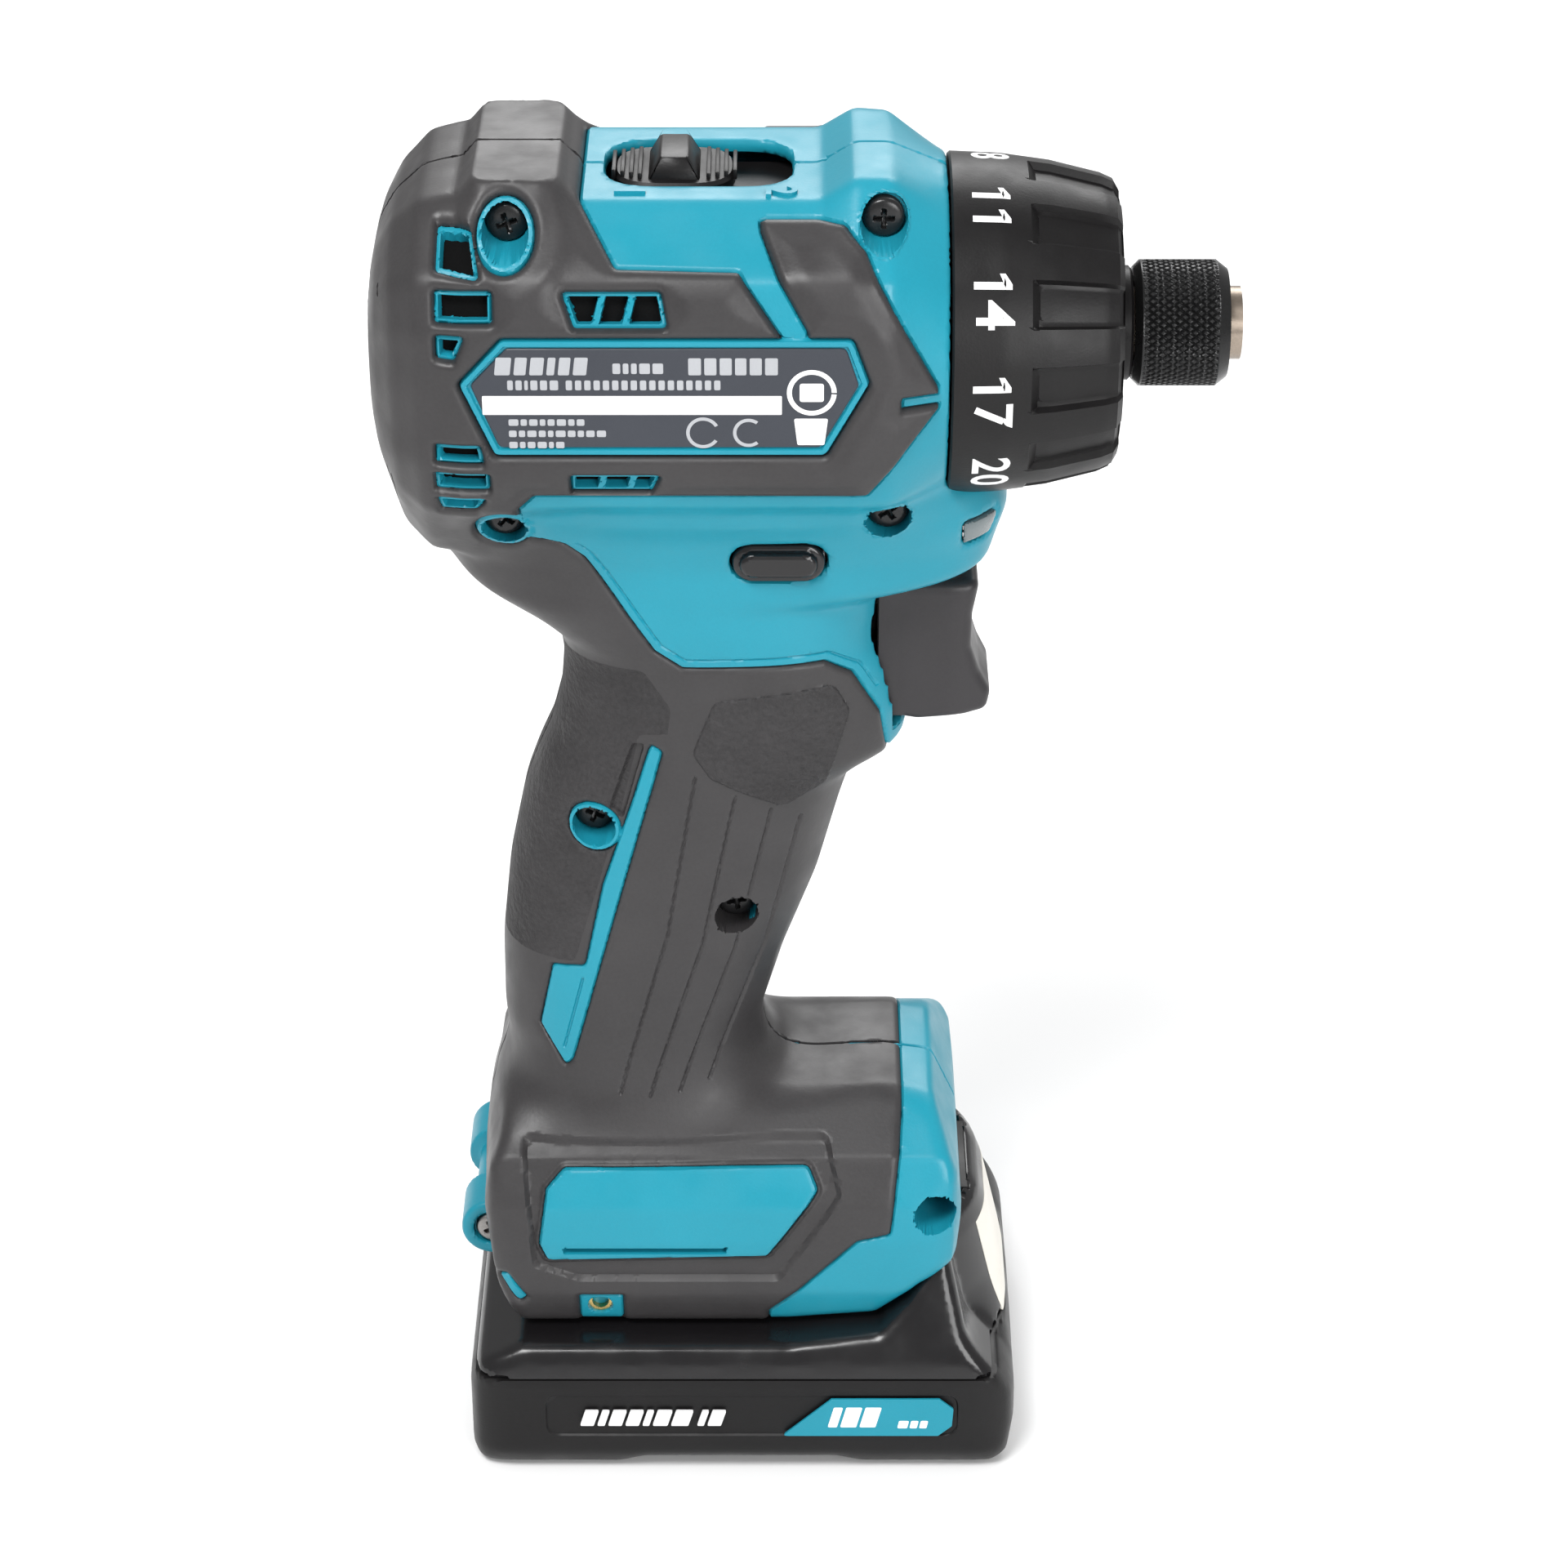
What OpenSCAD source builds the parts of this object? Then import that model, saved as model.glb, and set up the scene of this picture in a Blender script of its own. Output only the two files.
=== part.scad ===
// Compact cordless drill driver with a quick-release hex bit holder.
// +X points out of the bit holder, +Z up, and the origin is under the
// middle of the tool on the surface that the battery stands on.

/* [Overall] */
// Height of the spindle axis above the surface
spindle_z = 188.5; // [188:0.25:189]
// Distance from the middle of the tool to the tip of the bit holder
tip_x = 63; // [62.5:0.25:63.5]
// Thickness of the plastic casing walls
wall = 2.4; // [2.0:0.1:2.6]
// Gap between pieces that move past each other
gap = 0.3; // [0.3:0.05:0.35]

/* [Gears] */
// Gear module, the pitch diameter divided by the number of teeth
gear_module = 0.7; // [0.69:0.005:0.7]
// Teeth of each sun gear
sun_teeth = 12; // [12:12:12]
// Teeth of each planet gear
planet_teeth = 15; // [15:15:15]
// Play between meshing teeth, measured along the pitch circle
backlash = 0.14; // [0.12:0.01:0.18]

/* [Bit holder] */
// Width across the flats of the hexagon socket
hex_flats = 6.35; // [6.35:0.01:6.4]
// Depth of the hexagon socket
hex_depth = 24; // [20:1:25]
// Radius of the knurled sleeve
sleeve_r = 9.2; // [9.0:0.1:9.3]

/* [Battery] */
// Width of the battery, which is the widest part of the tool
battery_w = 66; // [64:1:66]
// Height of the seam between the two battery cases
seam_z = 18.5; // [18:0.5:19]

/* [Hidden] */

teal = [0.12, 0.60, 0.70];
rubber = [0.27, 0.26, 0.27];
black = [0.10, 0.10, 0.11];
steel = [0.70, 0.71, 0.72];
dark_steel = [0.30, 0.30, 0.32];
copper = [0.78, 0.45, 0.25];
white = [0.92, 0.92, 0.88];
big = 300;
tiny = 0.01;
$fn = 64;

// ---------- shared shapes ----------

// A closed surface through a list of rings with the same number of points
module loft(rings) {
    n = len(rings[0]);
    last = len(rings) - 1;
    sides = [for (i = [0:last - 1], j = [0:n - 1])
        let (a = i * n + j, b = i * n + (j + 1) % n) each [[a, a + n, b], [b, a + n, b + n]]];
    first_cap = [for (j = [0:n - 1]) j];
    last_cap = [for (j = [n - 1:-1:0]) last * n + j];
    polyhedron([for (r = rings) each r], concat(sides, [first_cap], [last_cap]));
}

// Turns a shape drawn along +Z so that it lies along +X on the spindle axis, from x
module on_axis(x = 0) translate([x, 0, spindle_z]) rotate([0, 90, 0]) children();

// A tube or disc on the spindle axis from x0 to x1
module tube_x(x0, x1, r_out, r_in = 0) on_axis(x0) difference() {
    cylinder(r = r_out, h = x1 - x0);
    if (r_in > 0) translate([0, 0, -1]) cylinder(r = r_in, h = x1 - x0 + 2);
}

// A rod across the tool, centred on y = 0 unless y0 and y1 are given
module rod_y(x, z, r, y0, y1) translate([x, y1, z]) rotate([90, 0, 0]) cylinder(r = r, h = y1 - y0);

// A block between two corners
module block(a, b) translate(a) cube(b - a);

// An outline in the X-Z plane, extruded across the tool from y0 to y1
module side_shape(points, y0, y1)
    translate([0, y1, 0]) rotate([90, 0, 0]) linear_extrude(y1 - y0) polygon(points);

// A coil spring along +Z made as one swept wire
module coil(mean_r, wire_r, height, turns, sides = 6, steps = 12) {
    count = turns * steps;
    rise = height - 2 * wire_r;
    loft([for (i = [0:count]) let (t = 360 * i / steps, z = wire_r + rise * i / count)
        [for (j = [0:sides - 1]) let (a = -360 * j / sides, r = mean_r + wire_r * cos(a))
            [r * cos(t), r * sin(t), z + wire_r * sin(a)]]]);
}

// ---------- gears ----------

ring_teeth = sun_teeth + 2 * planet_teeth;
centre_r = gear_module * (sun_teeth + planet_teeth) / 2;
pressure = 25;
addendum = 0.8 * gear_module;
dedendum = 1.12 * gear_module;
inv_pressure = tan(pressure) - pressure * PI / 180;

// Angle in degrees from the middle of a tooth to its flank at radius r
function flank(teeth, r, play) =
    let (pitch_r = teeth * gear_module / 2, base_r = pitch_r * cos(pressure),
         a = acos(min(1, base_r / r)), half = 90 / teeth - play / 4 / pitch_r * 180 / PI)
    half + (inv_pressure - (tan(a) - a * PI / 180)) * 180 / PI;

// Outline of a gear with one tooth centred on +X. A negative play widens the
// teeth, which gives the hole of an internal gear.
module gear_outline(teeth, play, head, foot) {
    pitch_r = teeth * gear_module / 2;
    radii = [pitch_r - foot, pitch_r - foot / 2, pitch_r, pitch_r + head];
    polygon([for (t = [0:teeth - 1], p = concat(
        [for (i = [0:3]) [radii[i], -flank(teeth, radii[i], play)]],
        [for (i = [3:-1:0]) [radii[i], flank(teeth, radii[i], play)]]))
        let (a = 360 * t / teeth + p[1]) [p[0] * cos(a), p[0] * sin(a)]]);
}

// A spur gear along +X from x0 to x1, with the middle of a tooth straight down
module spur(teeth, x0, x1) on_axis(x0) linear_extrude(x1 - x0)
    gear_outline(teeth, backlash, addendum, dedendum);

module ring_gear(x0, x1, r_out) on_axis(x0) difference() {
    cylinder(r = r_out, h = x1 - x0);
    translate([0, 0, -1]) linear_extrude(x1 - x0 + 2)
        gear_outline(ring_teeth, -backlash, dedendum, addendum);
}

// Places its child at the planet with the given number, 0 to 2
module at_planet(k) translate([0, 0, spindle_z]) rotate([-120 * k, 0, 0])
    translate([0, 0, -centre_r - spindle_z]) children();

// One planet gear with a bore for its pin
module planet(k, x0) at_planet(k) difference() {
    spur(planet_teeth, x0, x0 + planet_w);
    tube_x(x0 - 1, x0 + planet_w + 1, pin_r + 0.04);
}

planet_w = 4.5;
pin_r = 1.5;
ring_r = 17.5;
stage_1_x = -10.5;
stage_2_x = -1.8;

// A disc with three planet pins towards the rear
module carrier(x0, x1, pins_x, r) {
    tube_x(x0, x1, r);
    for (k = [0:2]) at_planet(k) tube_x(pins_x, x0 + 1, pin_r);
}

// ---------- casing outline ----------

// Head sections from the back to the front of the casing:
// [x, half width, top, scale of the bevels, bottom, roundness]
head_stations = [[-63, 14, 10, 0.5, 14, 0.6], [-62, 19, 16, 0.72, 20, 0.4], [-59, 24, 21, 0.9, 27, 0.1],
    [-55, 27, 24.4, 1, 30, 0], [-49, 28, 25.2, 1, 30, 0], [-46, 28, 28.5, 1, 30, 0],
    [-38, 28, 28.5, 1, 30, 0], [-33, 28, 25, 1, 30, 0], [1.5, 28, 25, 1, 30, 0],
    [6.5, 28, 28.2, 1, 30, 0], [11.5, 27.6, 28.2, 1, 30, 0], [19.7, 24.8, 24.8, 1, 24.8, 1]];
corner_angles = [22, 42, 64, 116, 138, 158, 202, 222, 244, 296, 318, 338];

// One ring of points of the head, moved inwards by inset
function head_ring(s, inset) =
    let (w = s[1] - inset, t = s[2] - inset, k = s[3] * w / s[1], b = s[4] - inset,
         shape = [[w, 10 * k], [w * 26 / 28, 17.5 * k], [w / 2, t], [-w / 2, t],
             [-w * 26 / 28, 17.5 * k], [-w, 10 * k], [-w, -10 * k], [-w * 26 / 28, -17.5 * k],
             [-w / 2, -b], [w / 2, -b], [w * 26 / 28, -17.5 * k], [w, -10 * k]])
    [for (i = [0:11]) let (a = corner_angles[i], m = s[5],
        y = (1 - m) * shape[i][0] + m * w * cos(a), z = (1 - m) * shape[i][1] + m * t * sin(a))
        [s[0], y, spindle_z + z]];

// The head casing, made smaller by inset all round
module head(inset = 0) {
    last = len(head_stations) - 1;
    loft([for (i = [0:last]) let (s = head_stations[i],
        x = i == 0 ? s[0] + inset : i == last && inset > 0 ? s[0] + 1 : s[0],
        moved = i == 1 || i == 2 ? x + inset * 0.8 : x)
        head_ring([moved, s[1], s[2], s[3], s[4], s[5]], inset)]);
}

// Neck and grip sections from the head down: [z, rear x, front x, half width]
grip_stations = [[174, -50, 20, 20], [167, -56.5, 27, 23], [162, -57, 30, 20.5], [157, -55.4, 28.4, 18.8],
    [151.5, -52, 26.8, 18.4], [150, -50.5, 13, 18.2], [145, -42.2, 11.8, 18], [141, -37.4, 11.6, 17.6],
    [136.3, -36.7, 13.6, 17], [129, -37.3, 15.4, 17], [122.5, -39, 15, 17], [120.5, -39.9, 11, 17],
    [117.3, -41.3, 6.7, 17], [111.8, -43.3, 5, 16.6], [98.4, -46.1, 1.5, 16.4],
    [84.8, -47.6, -3.6, 16.4], [73, -47.7, -7.1, 17], [64, -47.2, -6, 18.6], [56, -48.5, 0, 21]];
grip_power = 2.6;
grip_points = 16;
last_cover_station = 17;
first_cover_station = 8;

function rounded(c, power) = sign(c) * pow(abs(c), 2 / power);
function grip_ring(s, inset) = [for (j = [0:grip_points - 1]) let (a = 360 * (j + 0.5) / grip_points,
    mid = (s[1] + s[2]) / 2, len = (s[2] - s[1]) / 2 - inset, w = s[3] - inset)
    [mid + len * rounded(cos(a), grip_power), w * rounded(sin(a), grip_power), s[0]]];

module grip(inset = 0, from = 0, to = 18) loft([for (i = [to:-1:from]) grip_ring(grip_stations[i], inset)]);

// Foot: the side view, cut by the view along the tool and the view from above
foot_side = [[-46, 24.4], [-3, 24.4], [11.2, 26], [17.9, 32.8], [24, 37], [25, 44], [24, 52], [20, 61],
    [12, 62.5], [-4, 61], [-47, 59.5], [-49.7, 53.5], [-51.1, 46], [-49.5, 34], [-47.5, 28]];
foot_end = [[-24, 24], [24, 24], [26.5, 32], [27.2, 42], [26.4, 48], [23, 55.5], [12, 62.6],
    [-12, 62.6], [-23, 55.5], [-26.4, 48], [-27.2, 42], [-26.5, 32]];

module rounded_plan(x0, x1, w, r, z0, z1) hull()
    for (x = [x0 + r, x1 - r], y = [-w + r, w - r])
        translate([x, y, z0]) cylinder(r = r, h = z1 - z0, $fn = 32);

module end_shape(points, x0, x1)
    translate([x0, 0, 0]) rotate([90, 0, 90]) linear_extrude(x1 - x0) polygon(points);

module foot() intersection() {
    side_shape(foot_side, -big, big);
    end_shape(foot_end, -60, 60);
    rounded_plan(-52, 25.5, 27.5, 9, 20, 66);
}

// Room inside the foot for the terminal block and the tongue of the battery
tongue_w = 14;
tongue_flange_w = 16.5;
tongue_top = 31;
module foot_room() {
    block([-47, -tongue_w - gap, 20], [40, tongue_w + gap, tongue_top + gap]);
    block([-47, -tongue_flange_w - gap, 27.4], [40, tongue_flange_w + gap, tongue_top + gap]);
    block([-44.5, -20, 34.5], [14, 20, 55]);
    block([-41, -11, 50], [-12, 11, 64]);
    block([-44, -12.5, 26], [-38, 12.5, 36]);
}

// ---------- casing halves ----------

// Casing screws: [x, z, outer end of the boss, seat of the head], the last two as distances from the seam
screw_points = [[-42.5, 211, 24.5, 14.3], [-44.2, 165.2, 20, 15], [10.4, 210.5, 22.5, 14.6],
    [11.5, 166.6, 20, 15.6], [-32.5, 111.6, 15, 9], [-11, 95.9, 15, 9], [20.3, 46.5, 24, 15.6]];
screw_head_r = 2.9;
screw_head_h = 2.2;
screw_shank_r = 1.5;
screw_tip_y = 8;

// Pockets for the screw heads and holes for their shanks
module screw_room() for (p = screw_points) {
    rod_y(p[0], p[1], screw_head_r + 0.4, -40, -p[3]);
    rod_y(p[0], p[1], screw_shank_r + 0.02, -p[3] - 1, screw_tip_y + 1);
}

module screw_bosses() for (p = screw_points) rod_y(p[0], p[1], screw_head_r + 1.6, -p[2], p[2] - 2);

trigger_w = 8.6;
button_x = -4.4;
button_z = 158.9;
selector_travel = 7;
selector_x0 = -28;
selector_x1 = -10.5;
selector_slot_w = 7.5;
selector_top = spindle_z + 27.6;
motor_r = 17.5;
case_r = 20;

module trigger_room() block([5.4, -trigger_w - gap, 125.6], [40, trigger_w + gap, 150.6]);

// Everything that the casing leaves open for the pieces inside and outside
module casing_room() {
    tube_x(-60, 22, case_r + 0.2, $fn = 48);
    trigger_room();
    block([-25, -9, 126], [13, 9, 152]);
    block([-12, -9, 140], [6, 9, 168]);
    block([-20, -11.5, 152], [-3, 11.5, 168]);
    hull() for (x = [button_x - 3.8, button_x + 3.8]) rod_y(x, button_z, 3.4, -40, 40);
    block([selector_x0 - gap, -selector_slot_w - gap, spindle_z + 19],
        [selector_x1 + selector_travel + gap, selector_slot_w + gap, selector_top + 5]);
    block([-31.5, -selector_slot_w - 3, spindle_z + 20.6], [0, selector_slot_w + 3, spindle_z + 22.6]);
    tube_x(ring_x0 - gap, 50, 25.3, $fn = 48);
    block([19.2, -14, 152], [22, 14, 162.2]);
    for (s = [-1, 1]) block([22.6, s < 0 ? -20 : 8, 158.4], [28.4, s < 0 ? -8 : 20, 162.6]);
    block([21.5, -button_y - gap, 31], [40, button_y + gap, 42]);
    foot_room();
    rod_y(-33, 28.6, 3.25, -30, -21);
    rod_y(-33, 28.6, 3.25, 21, 30);
    block([-38.6, -30, 39.6], [-12.7, -24.5, 41.3]);
    block([-38.6, 24.5, 39.6], [-12.7, 30, 41.3]);
    for (x = [-53, -50.2], y = [-1, 1]) translate([x, y * 25, 0])
        for (z = [202.6, 197, 180.4, 176, 172]) block([-1.1, -4, z - 0.9], [1.1, 4, z + 0.9]);
}

module casing($fn = 20) difference() {
    union() {
        difference() {
            union() { head(); grip(); foot(); }
            head(wall);
            grip(wall, 1, 17);
        }
        intersection() { screw_bosses(); union() { head(); grip(); foot(); } }
        front_walls();
    }
    difference() {
        grip(-1, first_cover_station, last_cover_station);
        grip(cover_t, first_cover_station, last_cover_station);
    }
    screw_room();
    casing_room();
}

// The walls that hold the motor, the gear case and the trigger switch
module front_walls() intersection() {
    union() {
        for (x = [-57, -36.4, -13.8, 17.4]) block([x, -30, 150], [x + 2, 30, 220]);
        block([-24, -20, 124], [6, 20, 126]);
        block([-27, -20, 124], [-25, 20, 153]);
        block([5, -20, 118], [16, 20, 125.6]);
        block([-60, -20, 62], [10, 20, 64]);
    }
    union() { head(1); grip(1, 1, 17); }
}

module housing_right() color(teal) intersection() { casing(); block([-big, -big, -big], [big, 0, big]); }
module housing_left() color(teal) intersection() { casing(); block([-big, 0, -big], [big, big, big]); }

cover_t = 1.3;
module grip_skin() difference() {
    grip(0, first_cover_station, last_cover_station);
    grip(cover_t - 0.02, first_cover_station, last_cover_station);
    screw_room();
    trigger_room();
}
module grip_cover_right() color(rubber) intersection() {
    grip_skin();
    block([-big, -big, -big], [big, 0, big]);
}
module grip_cover_left() color(rubber) intersection() {
    grip_skin();
    block([-big, 0, -big], [big, big, big]);
}

plate_points = [[-49.4, 191.6], [-43.2, 198.5], [6.1, 198.5], [8.5, 191.6], [2.4, 180.5], [-44.6, 180.5]];
module name_plates() color(dark_steel) for (s = [-1, 1]) side_shape(plate_points,
    s < 0 ? -28.6 : 28.02, s < 0 ? -28.02 : 28.6);

module housing_screws() color(black) for (p = screw_points) {
    rod_y(p[0], p[1], screw_head_r, -p[3] - screw_head_h, -p[3]);
    rod_y(p[0], p[1], screw_shank_r, -p[3], screw_tip_y);
}

// Loop at the back of the foot for a wrist strap
lug_x = -50.6;
lug_z = 36;
module strap_lug() color(teal) difference() {
    union() {
        for (s = [-1, 1]) rod_y(lug_x, lug_z, 5, s < 0 ? -15 : 6, s < 0 ? -6 : 15);
        rod_y(lug_x, lug_z, 3.2, -7, 7);
    }
    foot();
    block([-47, -30, 20], [-40, 30, 50]);
}

module clip_inserts() color(copper) for (s = [-1, 1]) difference() {
    rod_y(-33, 28.6, 3.2, s < 0 ? -25.4 : 21, s < 0 ? -21 : 25.4);
    rod_y(-33, 28.6, 2, s < 0 ? -27 : 19, s < 0 ? -19 : 27);
}

// ---------- motor ----------

shaft_r = 1.6;
motor_x0 = -57;
motor_x1 = -14;
cap_x1 = -51.5;

module motor_can() color(steel) difference() {
    union() {
        tube_x(cap_x1, motor_x1, motor_r);
        tube_x(motor_x1 - 1, motor_x1 + 0.4, 5);
    }
    tube_x(cap_x1 - 1, motor_x1 - 1.2, motor_r - 1.2);
    tube_x(motor_x1 - 2, motor_x1 + 1, 3);
    for (a = [90, 270])
        on_axis(motor_x1 - 2) rotate([0, 0, a]) translate([8, 0, 0]) cylinder(r = 1.27, h = 4);
}

module motor_magnets() color(dark_steel) for (a = [35, 215]) on_axis(-48) rotate([0, 0, a])
    rotate_extrude(angle = 110) translate([13, 0]) square([motor_r - 1.25 - 13, 25]);

module motor_end_cap() color(black) difference() {
    union() {
        tube_x(-55, cap_x1, motor_r - 0.2);
        tube_x(motor_x0, -55, 5);
    }
    tube_x(-53.5, cap_x1 + 1, motor_r - 2);
    tube_x(motor_x0 - 1, -50, 3);
}

module motor_brushes() color(dark_steel) for (s = [-1, 1]) translate([0, 0, spindle_z])
    block([-53.3, -1.6, s < 0 ? -14 : 4.9], [-49.3, 1.6, s < 0 ? -4.9 : 14]);

module motor_bushes() color(copper) {
    tube_x(motor_x0 + 0.4, -53.6, 3, shaft_r + 0.04);
    tube_x(motor_x1 - 1.2, motor_x1 + 0.3, 3, shaft_r + 0.04);
}

module motor_screws() color(steel) for (a = [90, 270]) on_axis(motor_x1 - 2) rotate([0, 0, a])
    translate([8, 0, 0]) {
        cylinder(r = 1.25, h = 4);
        translate([0, 0, 4]) cylinder(r = 2.2, h = 0.8);
    }

// Shaft, laminations, windings and the pinion that is the first sun gear
module rotor() {
    color(steel) {
        tube_x(motor_x0 + 0.6, -11.4, shaft_r);
        spur(sun_teeth, -11.4, -5.6);
    }
    color(dark_steel) difference() {
        tube_x(-44, -26, 12);
        for (a = [0:72:288]) on_axis(-45) rotate([0, 0, a]) translate([10.6, -0.8, 0]) cube([4, 1.6, 20]);
    }
    color(copper) for (a = [36:72:324]) on_axis(-46.4) rotate([0, 0, a]) translate([7, 0, 0])
        cylinder(r = 2.6, h = 22.6);
}

module commutator() color(copper) difference() {
    tube_x(-53.2, -47, 4.5, shaft_r);
    for (a = [0:60:300]) on_axis(-54) rotate([0, 0, a]) translate([3.9, -0.2, 0]) cube([2, 0.4, 8]);
}

module fan() color(black) {
    tube_x(-21, -16.4, 3.4, shaft_r);
    tube_x(-17.2, -16.4, 13.5, shaft_r);
    for (a = [0:30:330]) on_axis(-21) rotate([0, 0, a]) translate([3, -0.4, 0]) cube([10.4, 0.8, 4]);
}

// ---------- gear case and gears ----------

nose_r = 10.3;
nose_tip_r = 8;
nose_step_x = 40.6;
nose_x = 46.4;
bearing_r = 7.3;
clutch_pin_r = 1.6;
clutch_circle = 15.4;
clutch_pins_count = 6;
case_front_x = 12.5;

module gear_case() color(steel) difference() {
    union() {
        tube_x(-13.4, case_front_x, case_r, ring_r + 0.1);
        tube_x(-13.4, -12, case_r);
        tube_x(9.6, case_front_x, case_r);
        tube_x(case_front_x, nose_step_x, nose_r);
        tube_x(nose_step_x, nose_x, nose_tip_r);
    }
    tube_x(9, nose_x + 1, bearing_r);
    tube_x(-14, -11, 5.6);
    for (a = [90, 270]) on_axis(-15) rotate([0, 0, a]) translate([8, 0, 0]) cylinder(r = 1.27, h = 5);
    for (k = [0:clutch_pins_count - 1])
        on_axis(9) rotate([0, 0, 60 * k + 30]) translate([clutch_circle, 0, 0])
        cylinder(r = clutch_pin_r + 0.1, h = 5);
    block([-11.8, -1.4, spindle_z + 14], [-3, 1.4, spindle_z + 22]);
}

module ring_gear_1() color(dark_steel) difference() {
    ring_gear(-11.5, -5.5, ring_r - 0.25);
    on_axis(-9.6) difference() { cylinder(r = ring_r + 1, h = 1.6); cylinder(r = ring_r - 1.1, h = 1.6); }
}

module ring_gear_2() color(dark_steel) difference() {
    ring_gear(-2.2, 3.8, ring_r);
    for (k = [0:clutch_pins_count - 1])
        on_axis(3.2) rotate([0, 0, 60 * k + 30]) translate([clutch_circle, 0, 0])
        cylinder(r = clutch_pin_r + 0.1, h = 2);
}

module carrier_1() color(steel) {
    carrier(-5.1, -3, -10.4, 13.2);
    spur(sun_teeth, -3, 2.8);
}
module planet_1a() color(steel) planet(0, stage_1_x);
module planet_1b() color(steel) planet(1, stage_1_x);
module planet_1c() color(steel) planet(2, stage_1_x);

module carrier_2() color(steel) {
    carrier(3.2, 5.2, -1.6, 13.2);
    for (k = [0:4]) on_axis(5.2) rotate([0, 0, 72 * k]) translate([7.4, -1, 0]) cube([2.2, 2, 3.6]);
}
module planet_2a() color(steel) planet(0, stage_2_x);
module planet_2b() color(steel) planet(1, stage_2_x);
module planet_2c() color(steel) planet(2, stage_2_x);

// Spindle lock: rollers that jam between the lock ring and the spindle
roller_r = 1.3;
module lock_ring() color(dark_steel) tube_x(5.7, 9.6, 13, 10.2);
module lock_rollers() color(steel) for (k = [0:4]) on_axis(5.8) rotate([0, 0, 72 * k + 36])
    translate([8.3, 0, 0]) cylinder(r = roller_r, h = 3.4);

// ---------- spindle and bit holder ----------

spindle_r = 5.35;
ball_x = 51;
ball_r = 1.5;
ball_seat = 4.0;

module spindle() color(dark_steel) difference() {
    union() {
        tube_x(5.2, 9.2, 6.9);
        tube_x(9.2, tip_x, spindle_r);
    }
    on_axis(tip_x - hex_depth) rotate([0, 0, 30])
        cylinder(r = hex_flats / 2 / cos(30), h = hex_depth + 1, $fn = 6);
    on_axis(tip_x - 0.8) cylinder(r1 = hex_flats / 2, r2 = hex_flats / 2 + 1.2, h = 1);
    translate([ball_x, 0, spindle_z]) cylinder(r = ball_r + 0.05, h = 8);
    tube_x(59.2, 60.3, 8, spindle_r - 0.5);
}

module rear_bush() color(copper) tube_x(9.8, 16, bearing_r, spindle_r + 0.03);
module front_bearing() color(steel) tube_x(37, 46, bearing_r, spindle_r + 0.03);
module lock_ball() color(steel) translate([ball_x, 0, spindle_z + ball_seat]) sphere(r = ball_r);

// Sleeve: a land behind that holds the ball in, and a room for the spring
sleeve_x0 = 47.2;
sleeve_x1 = 61;
module chuck_sleeve() color(black) difference() {
    on_axis(0) rotate_extrude() polygon([[5.75, 51.6], [7.0, sleeve_x0], [sleeve_r - 0.8, sleeve_x0],
        [sleeve_r, sleeve_x0 + 0.8], [sleeve_r, sleeve_x1 - 1.6], [sleeve_r - 1.4, sleeve_x1],
        [7.75, sleeve_x1], [7.75, 54.6], [5.75, 54.6]]);
}

module sleeve_spring() color(steel) on_axis(54.7) coil(6.7, 0.4, 4.4, 3);
module sleeve_clip() color(dark_steel) tube_x(59.25, 60.25, 7.4, spindle_r - 0.5);

// ---------- torque clutch ----------

// Nut at setting 9, and its travel along the thread for one degree of the ring
nut_x = 25;
module clutch_pins() color(steel) for (k = [0:clutch_pins_count - 1]) on_axis(3.9) rotate([0, 0, 60 * k + 30])
    translate([clutch_circle, 0, 0]) cylinder(r = clutch_pin_r, h = 10.3);
module clutch_washer() color(steel) tube_x(14.3, 15.6, 17.6, nose_r + 0.1);
module clutch_spring() color(steel) on_axis(15.7) coil(13.4, 1.1, 9.2, 3);
module clutch_nut() color(white) difference() {
    union() {
        tube_x(nut_x, nut_x + 4.5, 16.5, nose_r + 0.05);
        for (k = [0:3])
            on_axis(nut_x) rotate([0, 0, 90 * k]) translate([15.5, -1.8, 0]) cube([3.2, 3.6, 4.5]);
    }
}

ring_x0 = 20.1;
ring_x1 = 44.8;
pocket_count = 12;
module torque_ring() color(black) difference() {
    on_axis(0) rotate_extrude() polygon([[19.6, ring_x0], [24.9, ring_x0], [23.4, 34.8], [21.7, 42.6],
        [20.6, ring_x1], [nose_tip_r + 0.05, ring_x1], [nose_tip_r + 0.05, 41], [17.2, 41], [17.2, 34],
        [19.6, 33]]);
    for (k = [0:pocket_count - 1]) on_axis(0) rotate([0, 0, 30 * k]) translate([25.6, 0, 31.6])
        rotate([0, -5.5, 0]) translate([-1.9, -3.2, 0]) cube([6, 6.4, 14]);
}
module ring_clip() color(black) tube_x(ring_x1 + 0.1, 46.2, 9, nose_tip_r);

// ---------- controls ----------

module speed_selector() color(black) {
    block([selector_x0, -selector_slot_w, spindle_z + 22.8], [selector_x1, selector_slot_w, spindle_z + 24.6]);
    block([selector_x0 + 5.5, -5, spindle_z + 24.6], [selector_x1 - 5.5, 5, selector_top]);
    for (x = [selector_x0 + 1, selector_x0 + 3.2, selector_x1 - 4.4, selector_x1 - 2.2])
        block([x, -5, spindle_z + 24.6], [x + 1.1, 5, spindle_z + 26]);
    block([-28, -9, spindle_z + 21], [-12, 9, spindle_z + 22.2]);
    block([-24, -3, spindle_z + 22.2], [-16, 3, spindle_z + 22.8]);
}

// Wire from the selector to the groove of the first ring gear
module shift_wire() color(steel) {
    block([-12.6, -0.6, spindle_z + 20.1], [-8.2, 0.6, spindle_z + 20.8]);
    block([-9.4, -0.6, spindle_z + 16.6], [-8.2, 0.6, spindle_z + 20.8]);
}

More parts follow.
